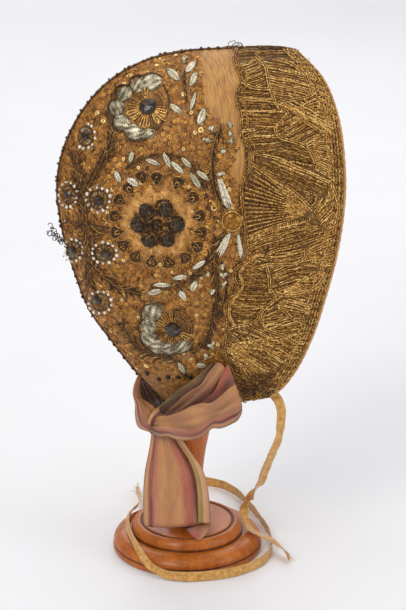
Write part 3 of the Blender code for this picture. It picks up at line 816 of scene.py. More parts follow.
TIE_LEFT = [
    # x, y, z, turn
    (43.5, 42.5, 129, 90),
    (43.5, 45.0, 119, 90),
    (42, 53, 106, 90),
    (36, 64, 86, 90),
    (28, 74, 58, 90),
    (20, 84, 30, 90),
    (15.5, 92, 11, 90),
    (21, 96.5, 4.4, 90),
    (33.6, 93, 3.8, 90),
    (44.5, 84.5, 3.8, 88),
    (50.8, 71, 3.8, 86),
    (53.8, 54.2, 3.8, 85),
    (56.0, 37.9, 3.8, 85),
    (57.6, 22.3, 3.8, 85),
    (58.6, 6.6, 3.8, 85),
    (57.2, -13, 3.8, 85),
    (51.6, -31, 3.8, 85),
    (40.0, -46.5, 3.8, 85),
    (23.6, -55.5, 3.8, 85),
    (3, -58.2, 3.8, 85),
    (-13, -56.0, 3.8, 85),
    (-26.5, -49.8, 4.4, 82),
    (-35.0, -41.5, 8.0, 68),
    (-39.2, -32.5, 13.2, 58),
    (-41.2, -15, 15.2, 55),
    (-41.0, 2, 15.2, 55),
    (-38.4, 18, 15.2, 52),
    (-32.6, 34, 14.2, 48),
    (-26.5, 50, 9.4, 58),
    (-22.0, 65, 5.2, 70),
    (-19.4, 80, 3.9, 78),
    (-18.4, 93.5, 3.8, 80),
]


def tie(name, table, node, narrow=()):
    p = np.asarray(table, float)
    knots = np.concatenate([[0], np.cumsum(np.linalg.norm(np.diff(p[:, :3], axis=0), axis=1))])
    count = int(knots[-1] / 1.3)
    fine = np.linspace(0, knots[-1], count)
    line = np.stack([smooth(knots, p[:, k], fine) for k in range(3)], 1)
    run = np.gradient(line, axis=0)
    run /= np.linalg.norm(run, axis=1, keepdims=True)
    # the tape's width at each row of the table, turned the same way all along
    rows = []
    for q, at in zip(p, knots):
        r = run[int(np.argmin(np.abs(fine - at)))]
        turn = math.radians(q[3])
        if abs(r[2]) > 0.72:
            w = np.array([math.cos(turn - 1.234), math.sin(turn - 1.234), 0.0])
        else:
            f = np.cross(r, [0, 0, 1.0])
            f /= np.linalg.norm(f)
            w = f * math.cos(turn) + np.cross(f, r) * math.sin(turn)
        w = w - r * (w @ r)
        w /= np.linalg.norm(w)
        if rows and w @ rows[-1] < 0:
            w = -w
        rows.append(w)
    rows = np.array(rows)
    wide = np.stack([np.interp(fine, knots, rows[:, k]) for k in range(3)], 1)
    kernel = np.hanning(9)[1:-1]
    kernel /= kernel.sum()
    padded = np.concatenate([np.repeat(wide[:1], 3, 0), wide, np.repeat(wide[-1:], 3, 0)])
    wide = np.stack([np.convolve(padded[:, k], kernel, "valid") for k in range(3)], 1)
    wide -= run * np.sum(wide * run, 1, keepdims=True)
    wide /= np.linalg.norm(wide, axis=1, keepdims=True)
    face = np.cross(run, wide)
    half = np.full(count, TIE_W / 2)
    for at, reach, share in narrow:
        half *= 1 - share * np.exp(-((fine - at) / reach) ** 2)
    half *= 1 + 0.035 * np.sin(fine / 6.1) + 0.025 * np.sin(fine / 2.7 + 1)
    cols = 11
    t = np.linspace(-1, 1, cols)
    s = fine[:, None]
    # the tape curls a little across, and ripples along its edges
    curl = (0.55 * np.sin(s / 13.0 + 1.3) * (t**2 - 0.4)[None] + 0.22 * np.sin(s / 5.3 + t[None] * 1.2) * np.abs(t)[None]
            + 0.10 * np.sin(s / 1.9 + 3 * t[None]))
    pinch = (TIE_W / 2 / half - 1)[:, None]
    curl = curl + 0.8 * np.clip(pinch, 0, 1.2) * np.cos(math.pi * 1.5 * t)[None]
    curl *= np.clip(fine / 8, 0, 1)[:, None]
    grid = line[:, None] + wide[:, None] * (t[None, :, None] * half[:, None, None]) + face[:, None] * curl[..., None]
    grid[..., 2] = np.maximum(grid[..., 2], 0.35)
    thick = 0.24
    top, bottom = grid + face[:, None] * thick, grid - face[:, None] * thick
    total = count * cols
    q = grid_quads(count, cols)
    idx = np.arange(total).reshape(count, cols)
    ring = np.concatenate([idx[0, :], idx[1:, -1], idx[-1, -2::-1], idx[-2:0:-1, 0]])
    nxt = np.roll(ring, -1)
    quads = np.concatenate([q, q[:, ::-1] + total, np.stack([nxt, ring, ring + total, nxt + total], -1)])
    v = np.concatenate([top.reshape(-1, 3), bottom.reshape(-1, 3)])
    st = np.stack(np.broadcast_arrays(s / 7, t[None]), -1).reshape(-1, 2)
    tone = 0.5 + 0.10 * np.sin(s / 9.0) + rng.normal(0, 0.05, (count, cols)) + 0.18 * (np.abs(t) > 0.85)[None]
    tone = np.concatenate([tone.ravel(), tone.ravel()])
    obj = new_mesh(name, v, quads[:, ::-1], np.zeros((0, 3), int), tone, np.concatenate([st, st]), M_tape)
    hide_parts(node)
    # loose warp threads at the cut end
    fray = Pile()
    end, w, r, f = line[-1], wide[-1], run[-1], face[-1]
    for k in range(26):
        a = end + w * (rng.uniform(-0.5, 0.5) * TIE_W * 0.95) - r * 0.6
        length = rng.uniform(1.5, 5.0)
        drift = w * rng.normal(0, 0.45) + f * rng.normal(0, 0.4)
        pts = np.array([a + (r * u + drift * u * u) * length for u in np.linspace(0, 1, 7)])
        pts[:, 2] = np.maximum(pts[:, 2], 0.3)
        sweep(fray, pts, np.repeat(f[None], 7, 0), 0.11, tone=rng.uniform(0.4, 0.9), sides=4)
    ends = pour(name + "_frayed_end", fray, M_frays, sides=("right",))
    length = float(np.sum(np.linalg.norm(np.diff(line, axis=0), axis=1)))
    return obj


M_frays = thread_material("silk_fray", [(0.0, (150, 104, 44)), (1.0, (236, 194, 112))], 0.6, 0.0)
tie_right = tie("tie_tape_right", TIE_RIGHT, "tie_right", narrow=((1.0, 7.0, 0.4), (36.0, 3.5, 0.35), (117.0, 8.0, 0.45)))
tie_left = tie("tie_tape_left", TIE_LEFT, "tie_left", narrow=((1.0, 7.0, 0.3), (440.0, 62.0, 0.46)))

# ---------------------------------------------------------------- crown embroidery
gold, dark, silver, pearls, spangles, wires = Pile(), Pile(), Pile(), Pile(), Pile(), Pile()
brim_threads, brim_cords = Pile(), Pile()


def place(uv, lift=0.0):
    return lay(cast(uv), np.full(len(np.atleast_2d(uv)), float(lift)))


def on_cloth(pts):
    """Whether chart points all lie on the cloth that is seen from the right."""
    pts = np.asarray(pts, float)
    return float(np.max(np.linalg.norm(chart_of(place(pts)[0]) - pts, axis=1))) < 1.2


def strands(uv, count, gap, r=0.42, tone=(0.25, 0.6), pile=None, close=0.0):
    """A couched stem of parallel strands that draw together towards its end."""
    line = curve_through(uv)
    s = np.linspace(0, 1, len(line))
    fine = even(line, 2.6)
    d = np.gradient(fine, axis=0)
    d /= np.linalg.norm(d, axis=1, keepdims=True) + 1e-9
    reach = 3.4 + 0.55 * count * gap
    for i in range(len(fine) - 2):
        for side in (-1, 1):
            turn = math.radians(rng.uniform(16, 44)) * side
            away = np.array([d[i, 0] * math.cos(turn) - d[i, 1] * math.sin(turn), d[i, 0] * math.sin(turn) + d[i, 1] * math.cos(turn)])
            out = np.array([-d[i, 1], d[i, 0]]) * side * rng.uniform(0.2, 0.5) * count * gap * 0.5
            size = reach * rng.uniform(0.7, 1.25)
            pts = [fine[i] + out + (d[i] * (1 - w) + away * w) * size * w for w in np.linspace(0, 1, 4)]
            if not on_cloth(pts):
                continue
            thread(dark if rng.random() < 0.62 else gold, pts, 0.33, lift=rng.uniform(0.25, 0.9), tone=rng.uniform(0.0, 0.8), sides=3, step=2.4, per=3)
    count = max(2, int(round(count * 0.6)))
    gap = gap * 1.3
    for k in range(count):
        off = (k - (count - 1) / 2) * gap * (1 - close * s)
        thread(pile or dark, beside(line, off)[::3], r, tone=(0.1, 0.6)[k % 2] + rng.uniform(-0.1, 0.2), sides=4, step=2.0, per=4, lift=rng.uniform(0.2, 0.6))


def feather(uv, plumes, length, angle=38, spread=(-1, 1), r=0.40, tone=(0.2, 0.75), start=0.05):
    """A feathered spray: strands that leave the stem one after the other and curl away."""
    line = curve_through(uv, 10)
    d = np.gradient(line, axis=0)
    d /= np.linalg.norm(d, axis=1, keepdims=True)
    for k in range(plumes):
        t = start + (0.97 - start) * k / plumes
        i = int(t * (len(line) - 1))
        for side in spread:
            a = math.radians(angle) * side * rng.uniform(0.75, 1.2)
            full = length * (1 - 0.45 * t) * rng.uniform(0.85, 1.15)
            c, s_ = math.cos(a), math.sin(a)
            away = np.array([d[i, 0] * c - d[i, 1] * s_, d[i, 0] * s_ + d[i, 1] * c])
            pts = [line[i] + (d[i] * (1 - u) + away * u) * full * u for u in np.linspace(0, 1, 5)]
            if not on_cloth(pts):
                continue
            thread(dark if rng.random() < 0.6 else gold, pts, r, tone=rng.uniform(*tone) - 0.08, sides=4, step=2.1, per=3, lift=rng.uniform(0.2, 0.8))
    thread(dark, uv, r * 1.1, tone=0.35, step=1.8)


def purl_loop(uv_a, uv_b, width, r=0.42, tone=0.7, pile=None):
    """A hairpin of purl from a out to b and back."""
    a, b = np.asarray(uv_a, float), np.asarray(uv_b, float)
    d = b - a
    side = np.array([-d[1], d[0]]) / (np.linalg.norm(d) + 1e-9) * width / 2
    pts = [a + side * 0.4, a + d * 0.5 + side, a + d * 0.92 + side * 0.8, b, a + d * 0.92 - side * 0.8, a + d * 0.5 - side, a - side * 0.4]
    thread(pile or gold, pts, r, tone=tone, sides=5, step=1.3, per=4, lift=0.5)


def circle(c, r, ry=None, n=20, start=0.0, end=2 * math.pi):
    a = np.linspace(start, end, n)
    return np.stack([c[0] + r * np.cos(a), c[1] + (ry or r) * np.sin(a)], 1)


def small_flower(u, v, rx, ry):
    c = (u, v)
    k = 26
    ring = circle(c, rx * 0.62, ry * 0.62, k + 1)[:-1]
    inner = circle(c, rx * 0.36, ry * 0.36, k + 1)[:-1]
    for a, b in zip(inner, ring):
        if not on_cloth([a, b]):
            continue
        thread(gold if rng.random() < 0.5 else silver, [a, b], 0.34, tone=rng.uniform(0.15, 0.6), sides=5, step=1.2, per=2, lift=0.5)
    thread(gold, circle(c, rx * 0.34, ry * 0.34, 16), 0.45, tone=0.3, step=1.2, per=2, lift=0.5)
    n = 13
    beads = circle(c, rx * 0.86, ry * 0.86, n + 1, 0.2, 0.2 + 2 * math.pi)[:-1]
    if (u, v) == (86, 136):
        beads = beads[[0, 1, 2, 3, 4, 10, 11, 12]]
    p, nn = place(beads)
    shown = np.linalg.norm(chart_of(p) - beads, axis=1) < 1.2
    p, nn = p[shown], nn[shown]
    p += nn * rng.uniform(0, 0.3, (len(p), 1)) + rng.normal(0, 0.26, p.shape)
    domes(pearls, p, nn, rng.uniform(0.75, 1.35, len(p)), 1.9, seg=9, rings=3, tone=rng.uniform(0.25, 0.95, len(p)))
    for q_ in p:
        domes(silver, [q_ + rng.normal(0, 0.9, 3)], nn[:1], 0.6, 1.0, seg=6, rings=2, tone=rng.uniform(0.2, 0.8))
    thread(dark, circle(c, rx * 0.66, ry * 0.66, 22), 0.34, tone=0.3, step=1.4, per=2, lift=0.35)


for f in SMALL_FLOWERS:
    small_flower(*f)

# big flower, upper: padded silver petals round gold purl and a stone
F1 = np.array([148.0, 107.0])
for (cx, cy, w, h, ang) in [(152, 82, 17, 12, 0), (138, 86, 12, 10, -30), (125, 94, 14, 10, -35), (117, 108, 13, 11, -80),
                            (122, 123, 15, 11, 35), (134, 132, 17, 11, 15), (148, 134, 12, 8, -10)]:
    d = np.array([math.cos(math.radians(ang)), math.sin(math.radians(ang))])
    leaf(silver, (cx, cy) - d * w * 0.62, (cx, cy) + d * w * 0.62, h * 1.5, 1.5, tone=rng.uniform(0.14, 0.42), rows=25, cols=17, ribs=0.07, blunt=0.4, skew=2.2, mottle_and_tip_shade=0.34)
thread(dark, [(162, 78), (157, 75), (150, 74), (143, 77), (138, 76), (131, 80), (129, 86), (121, 86), (115, 92), (117, 98), (110, 103),
              (109, 111), (113, 117), (112, 124), (118, 131), (124, 131), (128, 139), (137, 141), (146, 139), (152, 134)],
       0.75, tone=0.25, step=1.4, lift=0.9)
for k in range(26):
    a = math.radians(95 + k * 10.4)
    d = np.array([math.cos(a), -math.sin(a)])
    reach = rng.uniform(19, 23)
    purl_loop(F1 + d * 8, F1 + d * reach, 2.5, 0.5, tone=rng.uniform(0.25, 0.85))
for r0 in (9.5, 12, 14.5, 17, 19.5):
    thread(dark if r0 in (9.5, 14.5) else gold, circle(F1, r0, n=14, start=-1.15, end=1.1), 0.45, tone=rng.uniform(0.3, 0.6), step=1.5, per=3)
for k in range(20):
    a = k * math.pi / 10
    p, nn = place([F1 + np.array([math.cos(a), math.sin(a)]) * 8.2])
    domes(gold, p, nn, 0.75, 1.3, seg=6, rings=2, tone=0.45)
thread(dark, [(163, 84), (167, 92), (169, 102), (167, 114), (162, 124), (156, 130)], 0.6, tone=0.3, step=1.5)

# big flower, lower
F2 = np.array([173.0, 329.0])
for (cx, cy, w, h, ang) in [(152, 312, 18, 14, -50), (149, 325, 13, 12, -80), (149, 337, 15, 11, 65), (158, 346, 15, 10, 25), (170, 348, 15, 9, 5),
                            (183, 346, 15, 9, -25)]:
    d = np.array([math.cos(math.radians(ang)), math.sin(math.radians(ang))])
    leaf(silver, (cx, cy) - d * w * 0.62, (cx, cy) + d * w * 0.62, h * 1.5, 1.3, tone=rng.uniform(0.08, 0.3), rows=25, cols=17, ribs=0.07, blunt=0.4, skew=2.2, mottle_and_tip_shade=0.34)
thread(dark, [(166, 304), (158, 303), (148, 304), (142, 309), (141, 318), (138, 326), (140, 334), (142, 343), (150, 350), (156, 354),
              (168, 355), (178, 353), (188, 350), (193, 344)], 0.6, tone=0.35, step=1.4, lift=0.8)
for k in range(26):
    a = math.radians(75 + k * 10.5)
    d = np.array([math.cos(a), -math.sin(a)])
    purl_loop(F2 + d * 7.5, F2 + d * rng.uniform(16, 20), 2.3, 0.48, tone=rng.uniform(0.2, 0.7))
for r0 in (9, 11.5, 14, 17, 20):
    thread(dark if r0 in (9, 14, 20) else gold, circle(F2, r0, n=14, start=-1.5, end=1.3), 0.45, tone=rng.uniform(0.25, 0.6), step=1.5, per=3)
for k in range(20):
    a = k * math.pi / 10
    p, nn = place([F2 + np.array([math.cos(a), math.sin(a)]) * 7.8])
    domes(gold, p, nn, 0.7, 1.2, seg=6, rings=2, tone=0.4)

# rosette: gold lines between the discs, and its ring of small looped motifs
RC = np.array([157.0, 224.5])
for (cx, cy, r0) in [(164, 208, 8), (176, 224, 8), (166, 238, 7.4), (151, 238.5, 7.4), (139.5, 224, 7.6), (148, 213, 6.4), (157, 225, 5.4)]:
    thread(gold, circle((cx, cy), r0 + 0.9, r0 + 0.9, 18), 0.4, tone=0.3, step=1.4, per=2, lift=0.3)
    thread(dark, circle((cx, cy), r0 - 0.3, r0 - 0.3, 18), 0.55, tone=0.1, step=1.4, per=2, lift=0.5)
for (cx, cy) in [(157, 214), (168, 217), (171, 232), (158.5, 236), (146, 232), (146, 220), (166, 225), (149, 226)]:
    p, nn = place([(cx, cy)])
    domes(dark, p, nn, 1.5, 1.2, seg=8, rings=2, tone=0.12)
for k in range(24):
    a = rng.uniform(0, 2 * math.pi)
    r0 = rng.uniform(25, 33)
    c = RC + np.array([math.cos(a), math.sin(a)]) * r0
    thread(gold, circle(c, rng.uniform(2.5, 5), n=8, start=a, end=a + 3.6), 0.3, tone=rng.uniform(0.6, 0.9), step=1.4, per=2, lift=0.1)
for k in range(150):
    a = rng.uniform(0, 2 * math.pi)
    r0 = 22 * math.sqrt(rng.random())
    c = np.array([157.5, 224.5]) + np.array([math.cos(a) * r0 * 1.12, math.sin(a) * r0])
    b0 = rng.uniform(0, 2 * math.pi)
    thread(dark if k % 4 else gold, circle(c, rng.uniform(1.2, 2.8), n=6, start=b0, end=b0 + rng.uniform(2.2, 4.6)), 0.3, tone=rng.uniform(0.0, 0.55), sides=4,
           step=1.2, per=2, lift=rng.uniform(1.2, 2.0))
MOTIFS = [(142, 177), (157, 178), (178, 183), (193, 198), (199, 216), (201, 232), (197, 246), (185, 257), (169, 262), (152, 261),
          (136, 256), (124, 245), (117, 232), (116, 216), (120, 200), (129, 188)]
for m in MOTIFS:
    m = np.array(m, float)
    away = m - RC
    away /= np.linalg.norm(away)
    side = np.array([-away[1], away[0]])
    tri = [m - away * 6, m + side * 4.4 + away * 3.0, m + away * 4.5, m - side * 4.4 + away * 3.0, m - away * 6]
    thread(dark, tri, 0.62, tone=0.12, step=1.2, per=5, lift=0.7)
    thread(gold, [m - away * 8, m + side * 6.2 + away * 3.6, m + away * 6.6, m - side * 6.2 + away * 3.6, m - away * 8], 0.45, tone=0.5, step=1.3, per=5, lift=0.4)
    p, nn = place([m + away * 0.4])
    domes(dark, p, nn, 1.8, 1.2, seg=8, rings=2, tone=0.1)
    thread(gold, [m - away * 4.6 + side * 0.6, m - away * 1.6 + side * 2.0, m + away * 1.6, m - away * 1.6 - side * 2.0, m - away * 4.6 - side * 0.6], 0.34,
           tone=rng.uniform(0.3, 0.7), sides=4, step=1.2, per=3, lift=0.9)

# small silver leaves and their stems
LEAVES = [
    # from, to, width
    ((130, 163), (133, 151), 5.0), ((145, 159), (161, 165), 5.2), ((163, 152), (171, 168), 5.4), ((171, 161), (184, 174), 5.6),
    ((181, 157), (192, 168), 5.0), ((190, 172), (201, 189), 6.0), ((196, 170), (209, 180), 5.4), ((115, 170), (121, 183), 5.4),
    ((127, 178), (139, 186), 7.0), ((192, 269), (206, 260), 5.0), ((172, 278), (188, 276), 5.0), ((147, 293), (163, 290), 6.0),
    ((191, 291), (197, 280), 6.6), ((179, 290), (186, 299), 6.0), ((152, 284), (172, 285), 4.4),
    ((167, 69), (180, 81), 8.0), ((190, 87), (197, 72), 7.0), ((185, 73), (196, 62), 6.4), ((169, 104), (183, 114), 6.0),
    ((198, 126), (205, 108), 7.6), ((178, 361), (186, 374), 5.0), ((196, 364), (207, 366), 4.6), ((190, 112), (196, 92), 4.0),
]
for a, b, w in LEAVES:
    tone_ = rng.uniform(0.5, 0.8)
    leaf(silver, a, b, w * 1.18, 1.2, tone=tone_, rows=25, cols=11, ribs=0.12, skew=0.9, seam=0.9, mottle_and_tip_shade=0.07)
    a, b = np.array(a, float), np.array(b, float)
    d = (b - a) / np.linalg.norm(b - a)
    m_ = np.array([-d[1], d[0]]) * (w * 0.56)
    for sg in (-1, 1):
        thread(dark, [a, a + (b - a) * 0.25 + m_ * sg * 0.8, a + (b - a) * 0.5 + m_ * sg, a + (b - a) * 0.75 + m_ * sg * 0.8, b], 0.3, lift=0.3, tone=rng.uniform(0.2, 0.6), sides=4, step=1.5, per=3)
for a, b, w in [((219, 176), (229, 211), 9.5), ((229, 232), (219, 258), 9.0), ((238, 233), (241, 260), 6.0)]:
    for k in range(-2, 3):
        off = np.array([k * w / 5.2, abs(k) * 1.2])
        leaf(silver, np.add(a, off * 0.5), np.add(b, off * [1, -1.5]), w / 3.0, 0.9, tone=rng.uniform(0.35, 0.85), rows=21, cols=7, ribs=0.08)
for (u, v) in [(212, 129), (207, 140), (230, 124), (230, 133), (223, 151), (208, 274), (222, 266), (223, 275), (224, 284), (213, 291),
               (212, 345), (206, 356), (201, 364), (231, 140), (222, 174), (184, 60)]:
    turn0 = rng.uniform(0, 2 * math.pi)
    for k in range(3):
        a = turn0 + k * 2.1 + rng.uniform(-0.5, 0.5)
        d = np.array([math.cos(a), math.sin(a)])
        c0 = np.array([u, v]) + rng.uniform(-0.8, 0.8, 2)
        leaf(silver, c0 - d * 0.6, c0 + d * rng.uniform(3.2, 4.8), rng.uniform(3.4, 5.0), 1.1, tone=rng.uniform(0.2, 0.7), rows=9, cols=6, ribs=0.1, blunt=0.6, skew=0.8, mottle_and_tip_shade=0.12)
    p, nn = place([(u, v)])
    domes(silver, p, nn, 0.9, 1.7, seg=7, rings=2, tone=rng.uniform(0.4, 0.9))

STEMS = [
    ([(83, 224), (82, 200), (78, 176), (74, 150)], 7, 1.9),
    ([(85, 214), (88, 190), (98, 170), (108, 148), (112, 124), (108, 108)], 6, 1.7),
    ([(84, 222), (90, 236), (91, 256), (90, 274), (91, 291)], 8, 1.9),
    ([(92, 262), (104, 276), (120, 288), (142, 294)], 5, 1.7),
    ([(126, 170), (136, 163), (150, 157), (168, 155), (188, 163), (206, 186)], 3, 1.6),
    ([(150, 285), (168, 287), (185, 283), (200, 272), (210, 256), (217, 234)], 4, 1.7),
    ([(222, 124), (216, 140), (212, 158), (213, 178), (218, 198), (225, 210)], 4, 1.7),
    ([(226, 232), (218, 246), (214, 262), (216, 280), (216, 304), (212, 326), (205, 350)], 5, 1.7),
    ([(184, 70), (184, 84), (187, 104)], 2, 1.6),
    ([(220, 260), (226, 280), (224, 300), (220, 318)], 3, 1.6),
    ([(178, 360), (160, 356), (142, 348), (128, 334), (119, 318)], 6, 1.6),
    ([(178, 360), (184, 372), (188, 378)], 3, 1.5),
    ([(190, 352), (200, 345), (206, 334)], 4, 1.5),
]
for uv, n, gap in STEMS:
    strands(uv, n, gap, close=0.35)
feather([(116, 228), (98, 226), (84, 224), (66, 220)], 9, 20, 34)
feather([(112, 232), (98, 234), (86, 238), (74, 244)], 7, 16, 34)
feather([(88, 222), (84, 200), (80, 178), (76, 154)], 10, 20, 26)
feather([(104, 168), (112, 150), (113, 128), (109, 110)], 8, 16, 26)
feather([(89, 240), (90, 262), (91, 288)], 8, 17, 24)
feather([(96, 266), (112, 282), (134, 293)], 7, 16, 28)
feather([(172, 359), (150, 352), (132, 338), (120, 322)], 10, 18, 30)
feather([(196, 160), (204, 174), (208, 190)], 4, 12, 30)
feather([(200, 178), (207, 196), (212, 214), (222, 222)], 5, 12, 30)
feather([(220, 244), (212, 262), (196, 276), (172, 286)], 9, 12, 24)

for (u, v) in [(147, 373), (159, 379), (168, 377), (178, 377), (190, 377)]:
    p, nn = place([(u, v)])
    domes(dark, p, nn, 1.75, 1.2, seg=9, rings=2, tone=0.02)
    for b0 in rng.uniform(0, 2 * math.pi, 3):
        thread(dark, circle((u, v), rng.uniform(1.6, 2.4), n=5, start=b0, end=b0 + 1.8), 0.3, tone=0.15, sides=4, step=1.2, per=2, lift=0.4)
p, nn = place([(146, 366), (184, 94), (201, 130), (129, 76), (124, 84), (103, 121), (97, 113), (232, 210)])
discs(spangles, p, nn, 1.9, 0.6, seg=12, cup=0.5, tone=0.95, tilt=0.05)
# purl coils beside the button
for k, (u, v) in enumerate([(208, 216), (209, 222), (208, 229), (210, 236), (206, 247), (205, 253), (211, 203), (214, 208)]):
    p, nn = place([(u, v)])
    discs(spangles, p, nn, 2.0, 0.8, seg=12, cup=0.6, tone=0.5 + 0.05 * k, tilt=0.1)
thread(gold, circle((232, 221), 9.6, n=26), 0.55, tone=0.7, step=1.2, per=2, lift=0.5)
thread(gold, circle((232, 221), 11.6, n=30), 0.45, tone=0.4, step=1.2, per=2, lift=0.4)

# the ground of spangles: even over the cloth, away from plain and satin places
KEEP_OFF = [ROSETTE_AREA, PLAIN_FRONT, PLAIN_NAPE, LACE_ALL]


def scatter(grid, spacing, tries):
    p, _ = lay(grid)
    a = np.linalg.norm(np.cross(p[1:, :-1] - p[:-1, :-1], p[:-1, 1:] - p[:-1, :-1]), axis=-1)
    pick = rng.choice(a.size, size=tries, p=(a / a.sum()).ravel())
    i, j = np.unravel_index(pick, a.shape)
    fu, fv = rng.random(tries), rng.random(tries)
    xz = (grid[i, j] * ((1 - fu) * (1 - fv))[:, None] + grid[i + 1, j] * (fu * (1 - fv))[:, None]
          + grid[i, j + 1] * ((1 - fu) * fv)[:, None] + grid[i + 1, j + 1] * (fu * fv)[:, None])
    q, n = lay(xz)
    cell = {}
    keep = []
    for k in range(tries):
        c = tuple((q[k] // spacing).astype(int))
        near = False
        for dx in (-1, 0, 1):
            for dy in (-1, 0, 1):
                for dz in (-1, 0, 1):
                    for o in cell.get((c[0] + dx, c[1] + dy, c[2] + dz), ()):
                        if np.sum((q[o] - q[k]) ** 2) < spacing * spacing:
                            near = True
        if not near:
            cell.setdefault(c, []).append(k)
            keep.append(k)
    return q[keep], n[keep]


q, n = scatter(crown_grid(90, 60), 2.35, 16000)
uv = chart_of(q)
ok = np.ones(len(q), bool)
for poly in KEEP_OFF:
    ok &= ~inside(poly, uv)
for (c, rx, ry) in BIG_FLOWERS:
    ok &= ((uv[:, 0] - c[0]) / rx) ** 2 + ((uv[:, 1] - c[1]) / ry) ** 2 > 0.85
for (u, v, rx, ry) in SMALL_FLOWERS:
    ok &= ((uv[:, 0] - u) / rx) ** 2 + ((uv[:, 1] - v) / ry) ** 2 > 0.9
for stem, n_, gap_ in STEMS:
    way = even(curve_through(stem), 2.0)
    off_ = np.min(np.linalg.norm(uv[:, None] - way[None], axis=2), axis=1)
    ok &= off_ > n_ * gap_ * 0.42 + 1.6
ok &= q[:, 1] < -2.2
q, n = q[ok], n[ok]
tone = np.clip(rng.normal(0.48, 0.17, len(q)), 0.1, 1.0)
tone[rng.random(len(q)) < 0.035] = 0.95
discs(spangles, q + n * 0.15, n, rng.uniform(1.05, 1.4, len(q)), 0.42, seg=8, cup=0.38, tone=tone, tilt=0.2)
pick = rng.random(len(q)) < 0.45
domes(gold, q[pick] + n[pick] * 0.25, n[pick], 0.42, 0.9, seg=4, rings=1, tone=np.clip(tone[pick] - 0.25, 0, 1))
ta, tb = frames_of(n)
for k in np.flatnonzero(rng.random(len(q)) < 0.42):
    a0, wide_, bend_ = rng.uniform(0, 2 * math.pi), rng.uniform(1.0, 2.2), rng.uniform(1.6, 4.2)
    ang_ = a0 + np.linspace(0, bend_, 5)
    curlp = q[k] + n[k] * rng.uniform(0.35, 0.75) + (np.cos(ang_)[:, None] * ta[k] + np.sin(ang_)[:, None] * tb[k]) * wide_
    curlp += ta[k] * rng.uniform(-1.0, 1.0) + tb[k] * rng.uniform(-1.0, 1.0)
    sweep(dark if rng.random() < 0.6 else gold, curlp, np.repeat(n[k][None], 5, 0), 0.28, rng.uniform(0.0, 0.75), 3, 0.4)

# ---------------------------------------------------------------- brim lace
def hatch(poly, angle, gap, r=0.42, tone=(0.3, 0.7), bow=0.0, shine=(), pile=None, lift=(0.3, 0.8), skip=0.0):
    """Couched threads side by side over a field; shine lists chart heights of bright rows."""
    poly = np.asarray(poly, float)
    a = math.radians(angle)
    d, m = np.array([math.cos(a), math.sin(a)]), np.array([-math.sin(a), math.cos(a)])
    along_, over = poly @ d, poly @ m
    for level in np.arange(over.min() + gap * 0.5, over.max(), gap):
        level += rng.normal(0, gap * 0.16)
        cuts = []
        for k in range(len(poly)):
            o1, o2 = over[k - 1], over[k]
            if (o1 > level) != (o2 > level):
                f = (level - o1) / (o2 - o1)
                cuts.append(along_[k - 1] + (along_[k] - along_[k - 1]) * f)
        cuts.sort()
        for x0, x1 in zip(cuts[::2], cuts[1::2]):
            if x1 - x0 < 2.0 or rng.random() < skip:
                continue
            x0 += rng.uniform(0, 1.2)
            x1 -= rng.uniform(0, 1.2)
            k = max(3, int((x1 - x0) / 5) + 1)
            s = np.linspace(0, 1, k)
            pts = d * (x0 + (x1 - x0) * s)[:, None] + m * (level + bow * 4 * s * (1 - s) + rng.normal(0, 0.42, k))[:, None]
            mid = (pts[0] + pts[-1]) / 2
            bright = any(abs(mid[1] - h) < gap * 0.8 for h in shine)
            # bright rows are raised purl, and their lighter tone is a painted glint
            t = rng.uniform(0.6, 0.75) if bright else 0.08 + 0.9 * rng.uniform(*tone)
            if bright:  # purl cut to beads along the row
                for c0 in np.arange(0.04, 0.94, 3.4 / max(x1 - x0, 4)):
                    if rng.random() < 0.8:
                        c1 = min(c0 + rng.uniform(1.8, 3.0) / max(x1 - x0, 4), 1.0)
                        q0, q1 = (np.array([np.interp(c_, s, pts[:, 0]), np.interp(c_, s, pts[:, 1])]) for c_ in (c0, c1))
                        thread(brim_cords, [q0, (q0 + q1) / 2, q1], 0.5, lift=[0.8, 1.35, 0.8], tone=rng.uniform(0.72, 1.0), sides=5, step=1.0, per=2)
            thread(pile or brim_threads, pts, r * (1.25 if bright else 1.0), lift=rng.uniform(*lift) + (0.35 if bright else 0),
                   tone=t, sides=4, step=2.6, per=3, flat=0.8)


def fan(apex, arc, count, r=0.45, tone=(0.4, 0.7), stop=0.04, pile=None, lift=0.7):
    line = even(curve_through(arc, 12), 0.5)
    for k in range(count):
        p = line[int(k * (len(line) - 1) / max(count - 1, 1))]
        pts = [p + (np.array(apex) - p) * u for u in np.linspace(0, 1 - stop, 6)]
        thread(pile or brim_threads, pts, r, lift=lift, tone=rng.uniform(*tone), sides=5, step=2.4, per=3)


def ladder(line_a, line_b, count, r=0.4, tone=(0.5, 0.85), curve=0.0, lift=0.75, pile=None):
    """Rungs between two lines."""
    a, b = curve_through(line_a, 10), curve_through(line_b, 10)
    a, b = even(a, 0.3), even(b, 0.3)
    for k in range(count):
        f = (k + 0.5) / count
        p, q2 = a[int(f * (len(a) - 1))], b[int(f * (len(b) - 1))]
        d = q2 - p
        bow = np.array([-d[1], d[0]]) * curve
        thread(pile or brim_threads, [p, (p + q2) / 2 + bow, q2], r, lift=lift, tone=rng.uniform(*tone), sides=5, step=1.5, per=3)


